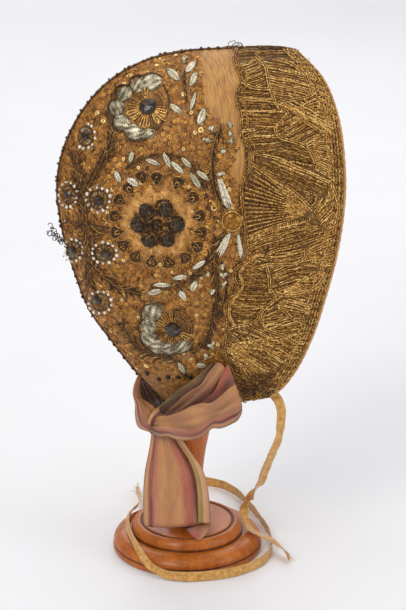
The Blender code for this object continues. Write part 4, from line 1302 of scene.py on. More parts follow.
def double_cord(uv, gap=2.0, r=0.44, tone=0.66, rungs=True, lift=1.2, per=8):
    """Two raised cords side by side, with short stitches over them."""
    line = curve_through(uv, per)
    for k in (-1, 1):
        thread(brim_cords, beside(line, k * gap / 2)[::2], r, lift=lift, tone=np.clip(tone - 0.06 + rng.normal(0, 0.06), 0, 1), sides=5, step=1.5, per=3)
    if rungs:
        fine = even(line, 2.1)
        d = np.gradient(fine, axis=0)
        d /= np.linalg.norm(d, axis=1, keepdims=True) + 1e-9
        side = np.stack([-d[:, 1], d[:, 0]], -1)
        for p, s_, dd in zip(fine, side, d):
            w = gap / 2 + 1.25
            thread(brim_cords, [p - s_ * w - dd * 0.6, p, p + s_ * w + dd * 0.6], 0.27, lift=[0.5, lift + 0.35, 0.5], tone=rng.uniform(0.0, 0.45), sides=4, step=0.9, per=2)


FIELDS = [
    # outline, angle, gap, tones, bow, bright rows
    ([(237, 48), (262, 48), (284, 48), (294, 50), (303, 59), (296, 62), (276, 60), (256, 58), (236, 62)], -3, 2.1, (0.15, 0.5), 0, ()),
    ([(236, 62), (256, 58), (264, 66), (269, 87), (256, 88), (241, 82)], -20, 2.2, (0.35, 0.75), 1, ()),
    ([(256, 58), (276, 60), (298, 62), (309, 60), (320, 76), (311, 96), (275, 104), (269, 87), (264, 66)], 12, 2.2, (0.3, 0.8), -1, (74, 83)),
    ([(241, 84), (256, 88), (269, 87), (280, 109), (286, 113), (276, 131), (262, 133), (241, 119), (238, 97)], 3, 2.1, (0.3, 0.7), 0, (101, 112, 127)),
    ([(275, 104), (311, 96), (320, 78), (330, 92), (337, 114), (330, 140), (312, 127), (292, 112), (286, 113), (280, 109)], 28, 2.3, (0.35, 0.85), 0, (113, 118)),
    ([(241, 121), (262, 133), (276, 131), (289, 141), (276, 150), (252, 160), (250, 151), (242, 140)], -6, 2.1, (0.35, 0.7), 0, (130, 136)),
    ([(276, 131), (286, 113), (292, 112), (312, 127), (330, 140), (312, 150), (289, 141)], -30, 2.2, (0.35, 0.75), 0, ()),
    ([(252, 162), (262, 155), (276, 150), (289, 141), (310, 150), (315, 164), (312, 174), (279, 159), (262, 158)], 12, 2.2, (0.2, 0.6), 0, (163,)),
    ([(252, 164), (279, 159), (312, 174), (331, 183), (322, 196), (297, 194), (276, 180)], 22, 2.1, (0.25, 0.65), 0, (166, 172)),
    ([(276, 180), (297, 194), (313, 210), (305, 206), (285, 196), (262, 180), (252, 166)], 36, 2.0, (0.45, 0.75), 0, ()),
    ([(297, 194), (322, 196), (331, 184), (338, 205), (333, 233), (313, 211)], -58, 2.2, (0.45, 0.8), 2, ()),
    ([(245, 240), (310, 221), (333, 233), (289, 247), (268, 254), (263, 262), (255, 266), (247, 261)], -17, 2.0, (0.4, 0.75), -3, ()),
    ([(268, 255), (289, 248), (305, 248), (306, 256), (297, 262), (271, 264)], -10, 1.9, (0.55, 0.8), 1, (252,)),
    ([(270, 266), (297, 263), (307, 256), (306, 248), (333, 235), (334, 250), (329, 272), (316, 291), (300, 296), (276, 300), (270, 289)], -12, 2.1, (0.35, 0.75), -4, ()),
    ([(247, 263), (255, 267), (266, 265), (270, 289), (274, 298), (264, 308), (257, 319), (238, 325), (226, 306), (238, 287), (235, 276), (239, 266)], 3, 1.85, (0.3, 0.62), 1.5, ()),
    ([(276, 300), (300, 296), (316, 291), (310, 312), (305, 322), (289, 315), (275, 306)], 14, 2.0, (0.6, 0.85), 0, (303, 309)),
    ([(257, 319), (264, 308), (275, 306), (289, 315), (305, 322), (298, 342), (282, 334), (261, 325)], -14, 2.1, (0.35, 0.8), 1, (322,)),
    ([(226, 340), (238, 326), (257, 320), (261, 326), (282, 335), (297, 343), (288, 358), (279, 356), (257, 344), (248, 334)], 24, 2.1, (0.3, 0.75), 0, (345,)),
    ([(224, 348), (230, 338), (248, 335), (257, 345), (279, 357), (286, 362), (276, 372), (250, 372), (230, 364)], 32, 2.0, (0.35, 0.8), 0, ()),
    ([(229, 364), (250, 373), (276, 373), (288, 363), (292, 374), (280, 388), (262, 397), (243, 402), (238, 382)], 18, 2.3, (0.1, 0.45), 2, ()),
]
for poly, angle, gap, tones, bow, shine in FIELDS:
    hatch(poly, angle, gap * 0.97, 0.48, (tones[0] - 0.06, tones[1] + 0.08), bow, shine)
    hatch(poly, angle + 6, gap * 1.9, 0.26, (0.0, 0.7), bow, (), lift=(0.9, 1.3), skip=0.25)

FAN_APEX = (313, 211)
for k in range(15):
    ray = even(curve_through([(256, 168), (246, 183), (242, 205), (243, 222), (247, 239)], 12), 0.4)
    for off, tn in ((-0.85, 0.26), (0.0, 0.56), (0.85, 0.3)):
        start = ray[int(np.clip((k + 0.5) / 15 * (len(ray) - 1) + off / 0.4, 0, len(ray) - 1))]
        pts = [start + (np.array(FAN_APEX) - start) * u for u in np.linspace(0, 0.9, 6)]
        thread(brim_threads, pts, 0.4, lift=0.95 if off == 0 else 0.7, tone=tn + rng.uniform(-0.15, 0.15), sides=5, step=2.4, per=3)
for k, f in enumerate((0.05, 0.12, 0.2, 0.29, 0.4)):
    arc = [np.add(p, (np.array(FAN_APEX) - p) * f) for p in np.array([(262, 176), (248, 186), (243, 205), (243, 222), (246, 238)], float)]
    thread(brim_cords, arc, 0.26, lift=0.75, tone=0.22, sides=4, step=2.0)
hatch([(285, 198), (313, 211), (290, 218), (284, 210)], 20, 1.6, 0.42, (0.35, 0.7), lift=(1.0, 1.3))
ladder([(245, 242), (278, 231), (311, 221)], [(244, 236), (276, 225), (310, 216)], 34, 0.42, (0.35, 0.8))
ladder([(310, 140), (313, 152), (315, 170)], [(330, 141), (332, 158), (331, 180)], 16, 0.42)
ladder([(305, 250), (308, 258), (318, 266), (312, 282)], [(332, 236), (334, 250), (329, 272), (320, 290)], 20, 0.42)
ladder([(313, 212), (318, 222), (330, 232)], [(322, 196), (333, 206), (338, 226)], 12, 0.42)
ladder([(286, 335), (292, 344), (288, 356)], [(310, 330), (304, 344), (296, 360)], 10, 0.4)
ladder([(262, 266), (264, 276), (268, 290)], [(248, 264), (247, 268), (246, 274)], 4, 0.4)
fan((273, 296), [(330, 262), (322, 276), (314, 290), (300, 296)], 12, 0.42, (0.45, 0.8), stop=0.2)
fan((288, 113), [(330, 92), (335, 108), (336, 124), (330, 139)], 10, 0.42, (0.4, 0.85), stop=0.15)
fan((226, 344), [(282, 336), (284, 348), (279, 358), (262, 372), (246, 378)], 20, 0.45, (0.35, 0.8), stop=0.1)

CORDS = [
    [(255, 57), (264, 66), (269, 87), (280, 109), (287, 113), (281, 122), (275, 131), (280, 138), (289, 141), (303, 146), (310, 152), (315, 164)],
    [(262, 155), (279, 159), (296, 167), (312, 174), (331, 183)],
    [(252, 164), (264, 172), (276, 180), (288, 187), (297, 194), (305, 202), (313, 210)],
    [(292, 112), (302, 119), (312, 127), (321, 133), (330, 140)],
    [(275, 104), (292, 101), (311, 96), (320, 86)],
    [(241, 82), (250, 88), (262, 90), (270, 90)],
    [(333, 233), (312, 239), (289, 247), (275, 250), (268, 254), (265, 261)],
    [(247, 261), (255, 266), (268, 264), (283, 264), (297, 262), (305, 256), (305, 248)],
    [(266, 264), (269, 276), (270, 289), (275, 298), (270, 303), (264, 308), (259, 314), (257, 319), (249, 323), (238, 325), (228, 328)],
    [(275, 304), (283, 309), (289, 315), (298, 320), (306, 322)],
    [(261, 325), (270, 330), (282, 334), (296, 342)],
    [(248, 334), (251, 340), (257, 344), (268, 350), (281, 357)],
    [(331, 183), (338, 205), (333, 233)],
    [(265, 310), (262, 318), (262, 324)],
    [(276, 60), (292, 66), (304, 76), (312, 95)],
    [(270, 290), (288, 295), (306, 292), (318, 284), (326, 272)],
]
for c in CORDS:
    double_cord(c)
for lift_, v_, tone_ in ((0.9, 49.2, 0.05), (1.3, 48.6, 0.3), (0.7, 50.2, 0.15)):
    thread(dark, [(258, v_ + 1.0), (264, v_ - 0.2), (270, v_ + 0.7), (277, v_ - 0.3), (284, v_ + 0.5), (288, v_ + 1.6)], 0.45, lift=lift_, tone=tone_ + 0.15, sides=5, step=1.6, per=4)
double_cord(LACE_LEFT[:-1], gap=2.0, r=0.45, tone=0.5)
double_cord([(247, 262), (240, 272), (243, 284), (238, 294), (230, 304), (230, 316), (236, 326)], gap=1.5, r=0.5, tone=0.65, rungs=False)
double_cord([(240, 66), (246, 80), (243, 96), (247, 116), (248, 138), (256, 151), (258, 163)], gap=1.4, r=0.42, tone=0.45, rungs=False)

# plaited rows along the face edge
edge_t = np.linspace(0.0, 1.0, 700)
width_at = None
face_dense, seam_dense = along(FACE_EDGE, 700), along(CROWN_SEAM, 700)
fp, _ = lay(face_dense)
sp, _ = lay(seam_dense)
across_len = np.linalg.norm(fp - sp, axis=1)
edge_len = np.concatenate([[0], np.cumsum(np.linalg.norm(np.diff(fp, axis=0), axis=1))])


def edge_row(offset, amp, period, phase, r, tone, lift, pile, cut=1.0):
    """A thread that weaves along the face edge, that far in from it (mm)."""
    n = int(edge_len[-1] / 1.05)
    at = np.linspace(0, edge_len[-1] * cut, n)
    t = np.interp(at, edge_len, edge_t)
    w = np.interp(at, edge_len, across_len)
    s = (offset + amp * np.sin(2 * math.pi * at / period + phase)) / w
    xz = brim_places(t, s)
    h = lift + 0.25 * np.cos(4 * math.pi * at / period + 2 * phase)
    pp, nn = lay(xz, h)
    pp[:, 1] = np.minimum(pp[:, 1], -0.2)
    patchy = 0.16 * np.sin(at / 2.3 + 5 * phase + offset) + 0.14 * np.sin(at / 0.9 + offset * 3)
    sweep(pile, pp, nn, r, np.clip(tone - 0.06 + patchy, 0, 1), 4, 0.4)


for row, off in enumerate((0.9, 2.9, 4.9, 6.9, 8.7)):
    for ph in (0.0, math.pi):
        edge_row(off, 0.62, 3.0, ph + row * 0.9, 0.45, 0.42 + 0.1 * (row % 2) + 0.05 * ph, 0.75, brim_cords)
    edge_row(off + 1.0, 0.0, 3.0, 0, 0.32, 0.3, 0.4, brim_cords)
edge_row(9.9, 0.15, 5.0, 0, 0.5, 0.6, 0.9, brim_cords)
# the seam between crown and brim is covered by two twisted threads
seam_at, seam_n = lay(along(CROWN_SEAM, 420))
seam_way = np.gradient(seam_at, axis=0)
seam_way /= np.linalg.norm(seam_way, axis=1, keepdims=True) + 1e-9
seam_side = np.cross(seam_way, seam_n)
seam_len = np.concatenate([[0], np.cumsum(np.linalg.norm(np.diff(seam_at, axis=0), axis=1))])
for ph in (0.0, math.pi):
    wave = 2 * math.pi * seam_len / 3.4 + ph
    twist = seam_at + seam_side * (0.5 * np.sin(wave))[:, None] + seam_n * (0.1 + 0.3 * np.cos(wave))[:, None]
    twist[:, 1] = np.minimum(twist[:, 1], -0.3)
    sweep(brim_cords, twist, seam_n, 0.62, 0.28 + 0.12 * np.sin(seam_len / 2.0 + ph), 5, 0.4)

# small curls that break up the rows of the lace
field = np.array([(x_, y_) for x_, y_ in rng.uniform((226, 52), (338, 396), (1500, 2)) if inside(LACE_AREA, np.array([x_, y_]))])
for (u_, v_) in field[:330]:
    if not (inside(LACE_AREA, np.array([u_ + 7.0, v_])) and inside(LACE_AREA, np.array([u_ + 5.0, v_ - 5.0]))):
        continue
    a0 = rng.uniform(0, 2 * math.pi)
    thread(brim_threads if rng.random() < 0.6 else dark, circle((u_, v_), rng.uniform(1.5, 4.2), rng.uniform(1.2, 3.4), 6, a0, a0 + rng.uniform(1.8, 3.6)), 0.28,
           lift=rng.uniform(0.8, 1.3), tone=rng.uniform(0.1, 0.75), sides=4, step=1.6, per=2)

# the tousled threads of the lower corner
for k in range(70):
    c = np.array([rng.uniform(240, 276), rng.uniform(376, 394)])
    c[0] = min(c[0], 285 - (c[1] - 374) * 1.0)
    a0 = rng.uniform(0, 2 * math.pi)
    thread(brim_threads if k % 3 else dark, circle(c, rng.uniform(2, 5), rng.uniform(1.5, 4), 9, a0, a0 + rng.uniform(2.5, 5)), 0.33,
           lift=rng.uniform(0.6, 1.8), tone=rng.uniform(0.05, 0.5), step=1.3, per=2)

# ---------------------------------------------------------------- braid, piping and loose wires
braid, piping = Pile(), Pile()
rc = ridge_curve(340)
out = np.stack([rc[:, 0] - POLE_X, rc[:, 1] - POLE_Z], 1)
tan = np.gradient(rc, axis=0)
nor = np.stack([-tan[:, 1], tan[:, 0]], 1)
nor /= np.linalg.norm(nor, axis=1, keepdims=True)
nor *= np.where(np.sum(nor * out, 1, keepdims=True) < 0, -1, 1)
centre = np.stack([rc[:, 0] + nor[:, 0] * 0.7, np.zeros(len(rc)), rc[:, 1] + nor[:, 1] * 0.7], 1)
n3 = np.stack([nor[:, 0], np.zeros(len(rc)), nor[:, 1]], 1)
run_len = np.concatenate([[0], np.cumsum(np.linalg.norm(np.diff(centre, axis=0), axis=1))])
for k in range(4):
    ph = k * math.pi / 2
    wave = 2 * math.pi * run_len / 5.0 + ph
    p = centre + n3 * (0.4 * np.cos(wave) - 0.55)[:, None] + np.array([0, 1.0, 0]) * (1.1 * np.sin(wave))[:, None]
    sweep(braid, p, n3, 0.42, 0.2 + 0.35 * (k % 2), 6, 0.5)
for at in np.cumsum(rng.uniform(2.0, 7.0, 120)):
    if at > run_len[-1] - 3:
        break
    i = int(np.clip(np.searchsorted(run_len, at), 1, len(rc) - 2))
    for y in (-1.2, 0.9):
        pp = centre[i] - n3[i] * 0.35 + np.array([0, y, 0])
        domes(braid, [pp], [n3[i]], rng.uniform(0.6, 1.35), rng.uniform(0.6, 1.9), seg=7, rings=2, tone=rng.uniform(0.0, 0.45))

line = []
edge = along(FACE_EDGE, 160)
ep, en = lay(edge)
er = np.gradient(ep, axis=0)
er /= np.linalg.norm(er, axis=1, keepdims=True)
en[-1] = [0.06, 0, 1.0]
er[-1] = [0, 1.0, 0]
eo = np.cross(er, en)
eo *= np.where(eo[:, :1] < 0, -1, 1)
ep[-1, 1] = 0
half = ep + eo * 0.95 - en * CLOTH * 0.5
whole = np.concatenate([half, half[-2::-1] * [1, -1, 1]])
wn = np.concatenate([en, en[-2::-1] * [1, -1, 1]])
sweep(piping, whole, wn, 1.15 + 0.12 * np.sin(np.arange(len(whole)) * 1.9), 0.6, 10, 0.6)


def curl(start, steps, turn, r0, reach, r=0.14):
    pts = [np.array(start, float)]
    for k in range(steps):
        a = k * turn
        bent = r0 * (1 + 0.5 * math.sin(k * 0.37)) * np.array([math.cos(a), 0.5 * math.sin(a * 0.7), math.sin(a)])
        pts.append(np.array(start, float) + np.array(reach) * (k / steps) + bent + np.append(rng.normal(0, 0.3, 2), 0)[[0, 2, 1]])
    p = np.array(pts)
    nn = np.tile([0, -1.0, 0], (len(p), 1))
    sweep(wires, p, nn, r, rng.uniform(0.1, 0.8), 5, 0.4)


back_xz = cast([(63, 243)])[0]
at3 = lay(back_xz[None])[0][0]
curl(at3, 70, 0.62, 1.5, (-10, -1, 9), 0.3)
curl(at3 + [-1, 0, 1], 60, 0.7, 1.1, (-8, -2, 13), 0.28)
top_xz = cast([(232, 49)])[0]
at4 = lay(top_xz[None])[0][0]
curl(at4, 46, 0.3, 3.2, (3, 0, 2.5), 0.22)
curl(at4 + [2, 0, 0], 40, 0.45, 1.8, (6, 0, 1), 0.18)

# ---------------------------------------------------------------- stones, foils and buttons keep their CAD shapes
for word in ("right", "left"):
    for nm in ("flower_stone_upper", "flower_stone_lower", "small_stone_1", "small_stone_2", "small_stone_3", "small_stone_4",
               "small_stone_5", "small_stone_6"):
        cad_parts[nm + "_" + word].data.materials.clear()
        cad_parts[nm + "_" + word].data.materials.append(M_stone)
    for nm in ["rosette_centre"] + ["rosette_foil_%d" % k for k in range(1, 7)]:
        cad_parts[nm + "_" + word].data.materials.clear()
        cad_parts[nm + "_" + word].data.materials.append(M_foil)
    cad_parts["gold_button_" + word].data.materials.clear()
    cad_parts["gold_button_" + word].data.materials.append(M_button)
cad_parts["stand_head"].data.materials.clear()
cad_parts["stand_head"].data.materials.append(M_post)

pour("gold_purl", gold, M_gold)
pour("dark_gimp_cords", dark, M_dark)
pour("silver_leaves", silver, M_silver)
pour("pearl_beads", pearls, M_pearl)
pour("gilt_spangles", spangles, M_spangle)
pour("lace_threads", brim_threads, M_brim)
pour("lace_cords", brim_cords, M_brim)
for o in pour("centre_gimp", braid, M_dark, sides=("right",)):
    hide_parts("centre_braid")
M_piping = thread_material("silk_piping", [(0.0, (150, 100, 50)), (1.0, (226, 176, 112))], 0.55, 0.0)
for o in pour("silk_piping", piping, M_piping, sides=("right",)):
    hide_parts("face_piping")
pour("loose_purl_wire", wires, M_wire, sides=("right",))

# ---------------------------------------------------------------- the stand, turned finely
BASE_TURNING = [
    # radius, z, tone (a low tone is painted shade: 0 is the darkest, in a groove)
    (0.01, 19.7, 0.6), (15.0, 19.7, 0.6), (27.0, 19.6, 0.6), (29.6, 19.5, 0.5), (30.6, 19.2, 0.25), (31.2, 18.3, 0.0), (31.9, 18.3, 0.0),
    (32.4, 19.0, 0.3), (33.4, 19.5, 0.55), (35.3, 18.9, 0.6), (37.0, 17.2, 0.6), (38.1, 14.9, 0.5), (38.2, 13.4, 0.3),
    (37.9, 12.5, 0.0), (38.5, 12.1, 0.05), (39.8, 12.2, 0.45), (43.0, 12.2, 0.6), (46.4, 11.4, 0.6), (49.2, 9.7, 0.6), (50.7, 7.5, 0.55),
    (51.1, 5.6, 0.4), (50.6, 4.6, 0.05), (50.5, 4.0, 0.05), (51.2, 3.4, 0.45), (51.55, 2.2, 0.5), (51.3, 0.9, 0.4), (50.6, 0.0, 0.3), (0.01, 0.0, 0.3),
]
POST_TURNING = [
    (0.01, 326.2, 0.5), (8.0, 326.2, 0.5), (8.0, 150.0, 0.5), (9.5, 128.0, 0.5), (15.0, 108.0, 0.5),
    (17.0, 98.0, 0.5), (15.8, 87.0, 0.5), (12.6, 71.0, 0.5), (10.9, 57.0, 0.5), (11.0, 44.0, 0.5),
    # the low tone at the bottom paints shade where the post stands on the foot
    (12.6, 31.0, 0.5), (15.2, 22.6, 0.4), (16.0, 20.3, 0.1), (0.01, 20.3, 0.1),
]


def lathe(name, table, steps, material, node, rounds=1):
    p = np.asarray(table, float)
    for _ in range(rounds):  # corners cut to soft turned edges
        inner = np.concatenate([p[:-1] * 0.78 + p[1:] * 0.22, p[:-1] * 0.22 + p[1:] * 0.78], 1).reshape(-1, p.shape[1])
        p = np.concatenate([p[:1], inner, p[-1:]])
    a = np.linspace(0, 2 * math.pi, steps, endpoint=False)
    v = np.stack([p[:, :1] * np.cos(a), p[:, :1] * np.sin(a), np.repeat(p[:, 1:2], steps, 1)], -1)
    obj = new_mesh(name, v.reshape(-1, 3), grid_quads(len(p), steps, wrap=True)[:, ::-1], np.zeros((0, 3), int), np.repeat(p[:, 2], steps),
                   np.zeros((v.shape[0] * v.shape[1], 2)), material)
    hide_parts(node)
    return obj


lathe("turned_foot", BASE_TURNING, 120, M_base, "stand_base")
lathe("turned_post", POST_TURNING, 72, M_post, "stand_post", 2)

# ---------------------------------------------------------------- the ribbon
# rows along the cloth; in each row, points across it: chart u, v, depth y, and place across the stripes (0 to 1)
LOOP_FRONT = [
    [(151.5, 432.0, -20, 0.0), (150.6, 427.0, -21.5, 0.28), (151.5, 421.5, -20.5, 0.60)],
    [(159.3, 437.2, -25, 0.0), (158.6, 428.5, -28.5, 0.27), (158.4, 416.5, -25, 0.60)],
    [(167.4, 436.6, -29.5, 0.0), (167.6, 428.0, -33.5, 0.29), (167.4, 415.8, -30, 0.60)],
    [(178.3, 439.6, -36, 0.0), (178.6, 430.0, -40.5, 0.28), (178.3, 412.3, -38, 0.60)],
    [(192.9, 439.8, -45, 0.0), (192.8, 429.5, -49.5, 0.27), (192.9, 405.3, -46, 0.61)],
    [(203.8, 436.2, -50.5, 0.0), (203.4, 424.5, -53.0, 0.29), (201.3, 403.0, -51, 0.62)],
    [(212.2, 428.6, -54, 0.0), (212.8, 418.5, -57, 0.27), (211.2, 402.6, -54, 0.60)],
    [(220.7, 428.3, -58, 0.0), (221.6, 415.5, -60, 0.29), (221.5, 395.6, -56, 0.58)],
    [(231.6, 424.0, -60, 0.0), (231.6, 409.5, -61, 0.30), (229.5, 388.6, -57, 0.58)],
    [(238.3, 419.6, -59.5, 0.0), (238.0, 406.0, -60.5, 0.30), (234.6, 385.6, -57, 0.58)],
    [(242.0, 411.5, -57, 0.0), (240.6, 400.5, -57.5, 0.30), (236.2, 385.4, -56, 0.58)],
    [(241.0, 407.0, -53.5, 0.0), (239.0, 398.0, -54.5, 0.30), (235.6, 386.6, -54, 0.58)],
]
LOOP_INNER = [
    [(212.6, 362.6, 0, 1.0), (214.4, 367.0, 3, 0.90), (216.4, 362.8, -2, 0.52), (220.2, 363.4, -2, 0.42), (224.6, 367.2, 0, 0.30), (226.2, 371.4, 4, 0.22), (228.2, 364.8, -1, 0.70), (235.6, 385.2, -2, 0.90)],
    [(203.5, 371.0, 0, 1.0), (207.0, 376.5, 3, 0.90), (210.0, 371.0, -2, 0.54), (213.8, 374.0, -2, 0.42), (218.4, 375.0, 0, 0.30), (220.5, 380.5, 4, 0.22), (223.0, 375.0, -1, 0.70), (232.0, 388.0, -2, 0.90)],
    [(190.4, 382.0, 0, 1.0), (196.6, 388.0, 3, 0.90), (201.5, 384.0, -2, 0.55), (205.2, 388.0, -2, 0.42), (209.4, 387.0, 0, 0.30), (212.8, 393.0, 4, 0.22), (216.0, 391.0, -1, 0.70), (226.0, 393.0, -2, 0.90)],
    [(177.0, 391.5, 0, 1.0), (182.0, 397.0, 4, 0.90), (188.0, 393.0, -2, 0.57), (193.0, 397.5, -1, 0.42), (199.0, 395.0, 0, 0.30), (203.0, 399.5, 4, 0.22), (208.0, 397.0, 0, 0.70), (218.0, 399.5, -1, 0.88)],
    [(164.5, 401.5, 0, 1.0), (168.0, 407.5, 4, 0.90), (175.5, 404.5, -2, 0.58), (180.5, 408.5, 0, 0.42), (188.5, 403.5, 1, 0.30), (195.5, 405.5, 5, 0.22), (202.0, 403.5, 2, 0.70), (211.0, 403.5, 1, 0.82)],
    [(159.0, 409.5, 0, 1.0), (162.0, 414.0, 4, 0.90), (166.0, 412.5, -1, 0.58), (170.0, 415.5, 2, 0.42), (175.0, 412.0, 3, 0.30), (179.5, 413.0, 6, 0.22), (184.0, 411.0, 4, 0.70), (189.0, 409.5, 4, 0.62)],
]
INNER_DEPTH = [-52, -49, -43.5, -37, -28.5, -22]
LOOP_BACK = [
    [(152.0, 425.5, -20.5, 0.62), (151.3, 428.5, -21.5, 0.30), (150.4, 432.3, -20, 0.0)],
    [(153.5, 420.0, -20.5, 0.62), (149.4, 425.6, -23.0, 0.30), (145.6, 430.5, -19, 0.0)],
    [(155.5, 410.5, -19, 0.62), (146.2, 421.0, -23.5, 0.30), (138.3, 426.8, -17, 0.0)],
    [(152.5, 405.5, -17, 0.62), (143.0, 413.5, -21.0, 0.30), (135.2, 415.6, -15, 0.0)],
    [(147.5, 402.5, -14, 0.62), (140.4, 404.5, -17.5, 0.30), (135.0, 404.0, -13, 0.0)],
    [(141.6, 398.0, -11, 0.62), (136.6, 396.5, -14.0, 0.30), (132.9, 395.0, -11, 0.0)],
    [(139.8, 386.5, -8, 0.62), (137.0, 385.5, -10.0, 0.30), (134.2, 384.0, -8, 0.0)],
    [(141.2, 376.0, -4, 0.62), (140.2, 374.6, -5.0, 0.30), (139.2, 373.2, -4, 0.0)],
    [(142.6, 376.4, 0.5, 0.62), (141.4, 375.0, 1.0, 0.30), (140.4, 373.6, 1.0, 0.0)],
    [(152.0, 382.0, 3.5, 0.62), (145.0, 383.0, 5.0, 0.30), (138.5, 383.5, 5.0, 0.0)],
    [(162.0, 389.5, 3.5, 0.62), (150.0, 392.0, 5.5, 0.30), (138.0, 394.5, 6.0, 0.0)],
    [(171.0, 398.0, 2.0, 0.62), (155.0, 401.0, 3.5, 0.30), (139.5, 407.0, 4.0, 0.0)],
    [(172.0, 406.0, -4.0, 0.62), (158.0, 410.5, -2.0, 0.30), (144.0, 418.5, -1.0, 0.0)],
    [(166.0, 413.0, -11.0, 0.62), (158.0, 418.5, -9.5, 0.30), (150.5, 425.0, -8.0, 0.0)],
]
TONGUE = [
    [(164.2, 403.3, -17.5, 0.0), (164.8, 404.6, -17.0, 0.06), (165.2, 406.5, -15.0, 0.15)],
    [(158.6, 406.2, -20.5, 0.0), (160.0, 409.0, -21.0, 0.08), (161.2, 412.2, -18.5, 0.17)],
    [(152.6, 411.5, -23.0, 0.0), (155.0, 413.5, -24.0, 0.09), (157.4, 416.0, -22.0, 0.18)],
    [(148.8, 417.5, -24.0, 0.0), (151.0, 419.2, -25.0, 0.09), (153.5, 420.6, -23.5, 0.18)],
    [(147.6, 423.5, -23.5, 0.0), (149.2, 424.6, -24.2, 0.09), (151.0, 425.4, -23.0, 0.17)],
]
TAIL = [
    [(151.4, 429.5, -17.5, 0.0), (153.6, 429.5, -18.5, 0.12), (158.0, 429.5, -20.0, 0.34), (164.0, 430.0, -19.5, 0.60), (169.5, 430.5, -18.5, 0.86)],
    [(151.0, 437.0, -19.0, 0.0), (154.0, 437.0, -20.0, 0.12), (159.8, 437.2, -21.8, 0.34), (167.0, 438.0, -21.5, 0.60), (174.4, 440.0, -20.0, 0.86)],
    [(148.8, 451.0, -20.5, 0.0), (152.6, 451.2, -21.8, 0.12), (160.6, 451.6, -23.6, 0.34), (171.6, 452.6, -23.2, 0.60), (183.2, 453.6, -21.5, 0.86)],
    [(145.4, 468.0, -22.0, 0.0), (150.4, 468.4, -23.4, 0.13), (161.0, 469.0, -25.4, 0.34), (177.0, 470.0, -25.0, 0.60), (192.4, 470.6, -23.5, 0.86)],
    [(143.4, 488.0, -23.5, 0.0), (149.2, 488.6, -25.2, 0.13), (162.0, 489.6, -27.2, 0.35), (180.0, 490.0, -26.8, 0.61), (196.6, 489.6, -25.4, 0.86)],
    [(143.2, 507.0, -24.8, 0.0), (149.4, 508.0, -26.6, 0.13), (162.6, 508.8, -28.6, 0.35), (181.0, 509.0, -28.0, 0.61), (197.6, 508.4, -26.6, 0.86)],
    [(144.8, 525.4, -26.0, 0.0), (150.2, 526.6, -27.8, 0.13), (163.2, 527.4, -29.6, 0.35), (181.6, 526.8, -29.0, 0.61), (197.8, 524.6, -27.6, 0.86)],
    [(146.6, 525.2, -22.5, 0.0), (151.6, 526.2, -24.0, 0.13), (164.0, 527.0, -25.6, 0.35), (181.6, 526.4, -25.0, 0.61), (196.6, 524.4, -24.0, 0.86)],
]
TURNED = [
    [(175.6, 438.4, -21.5, 1.0), (178.0, 438.2, -22.3, 0.96), (180.6, 438.0, -21.5, 0.90)],
    [(180.4, 446.6, -22.8, 1.0), (183.2, 446.0, -23.8, 0.96), (186.0, 445.4, -22.6, 0.90)],
    [(187.8, 457.6, -24.8, 1.0), (190.6, 456.8, -25.8, 0.96), (193.4, 456.2, -24.6, 0.90)],
    [(194.2, 472.0, -26.4, 1.0), (198.6, 470.8, -27.6, 0.95), (202.8, 470.0, -26.2, 0.88)],
    [(197.4, 489.0, -27.6, 1.0), (202.6, 488.2, -29.0, 0.95), (207.6, 487.4, -27.4, 0.87)],
    [(198.2, 506.0, -28.6, 1.0), (204.0, 505.6, -30.0, 0.95), (209.6, 505.0, -28.4, 0.86)],
    [(198.4, 522.6, -29.0, 1.0), (204.6, 523.2, -30.6, 0.95), (210.4, 523.2, -29.0, 0.86)],
]
CORNER = [
    [(184.6, 528.0, -26.5, 0.84), (198.0, 525.4, -29.0, 0.70), (210.4, 523.4, -29.0, 0.56)],
    [(188.6, 532.0, -29.5, 0.82), (198.8, 530.6, -31.0, 0.68), (208.4, 530.0, -30.8, 0.56)],
    [(193.6, 536.8, -33.0, 0.74), (199.0, 536.2, -33.4, 0.66), (204.4, 535.8, -33.0, 0.56)],
    [(197.6, 540.6, -36.0, 0.68), (198.6, 540.8, -36.0, 0.64), (199.8, 540.4, -36.0, 0.58)],
]


def before_crown(uv, y, gap):
    """The depth y, brought in front of the crown's cloth where it would be behind it."""
    xz = cast(uv)
    face, _ = lay(xz)
    seen = np.linalg.norm(chart_of(face) - uv, axis=1) < 0.6
    return np.where(seen, np.minimum(y, face[:, 1] - gap), y)


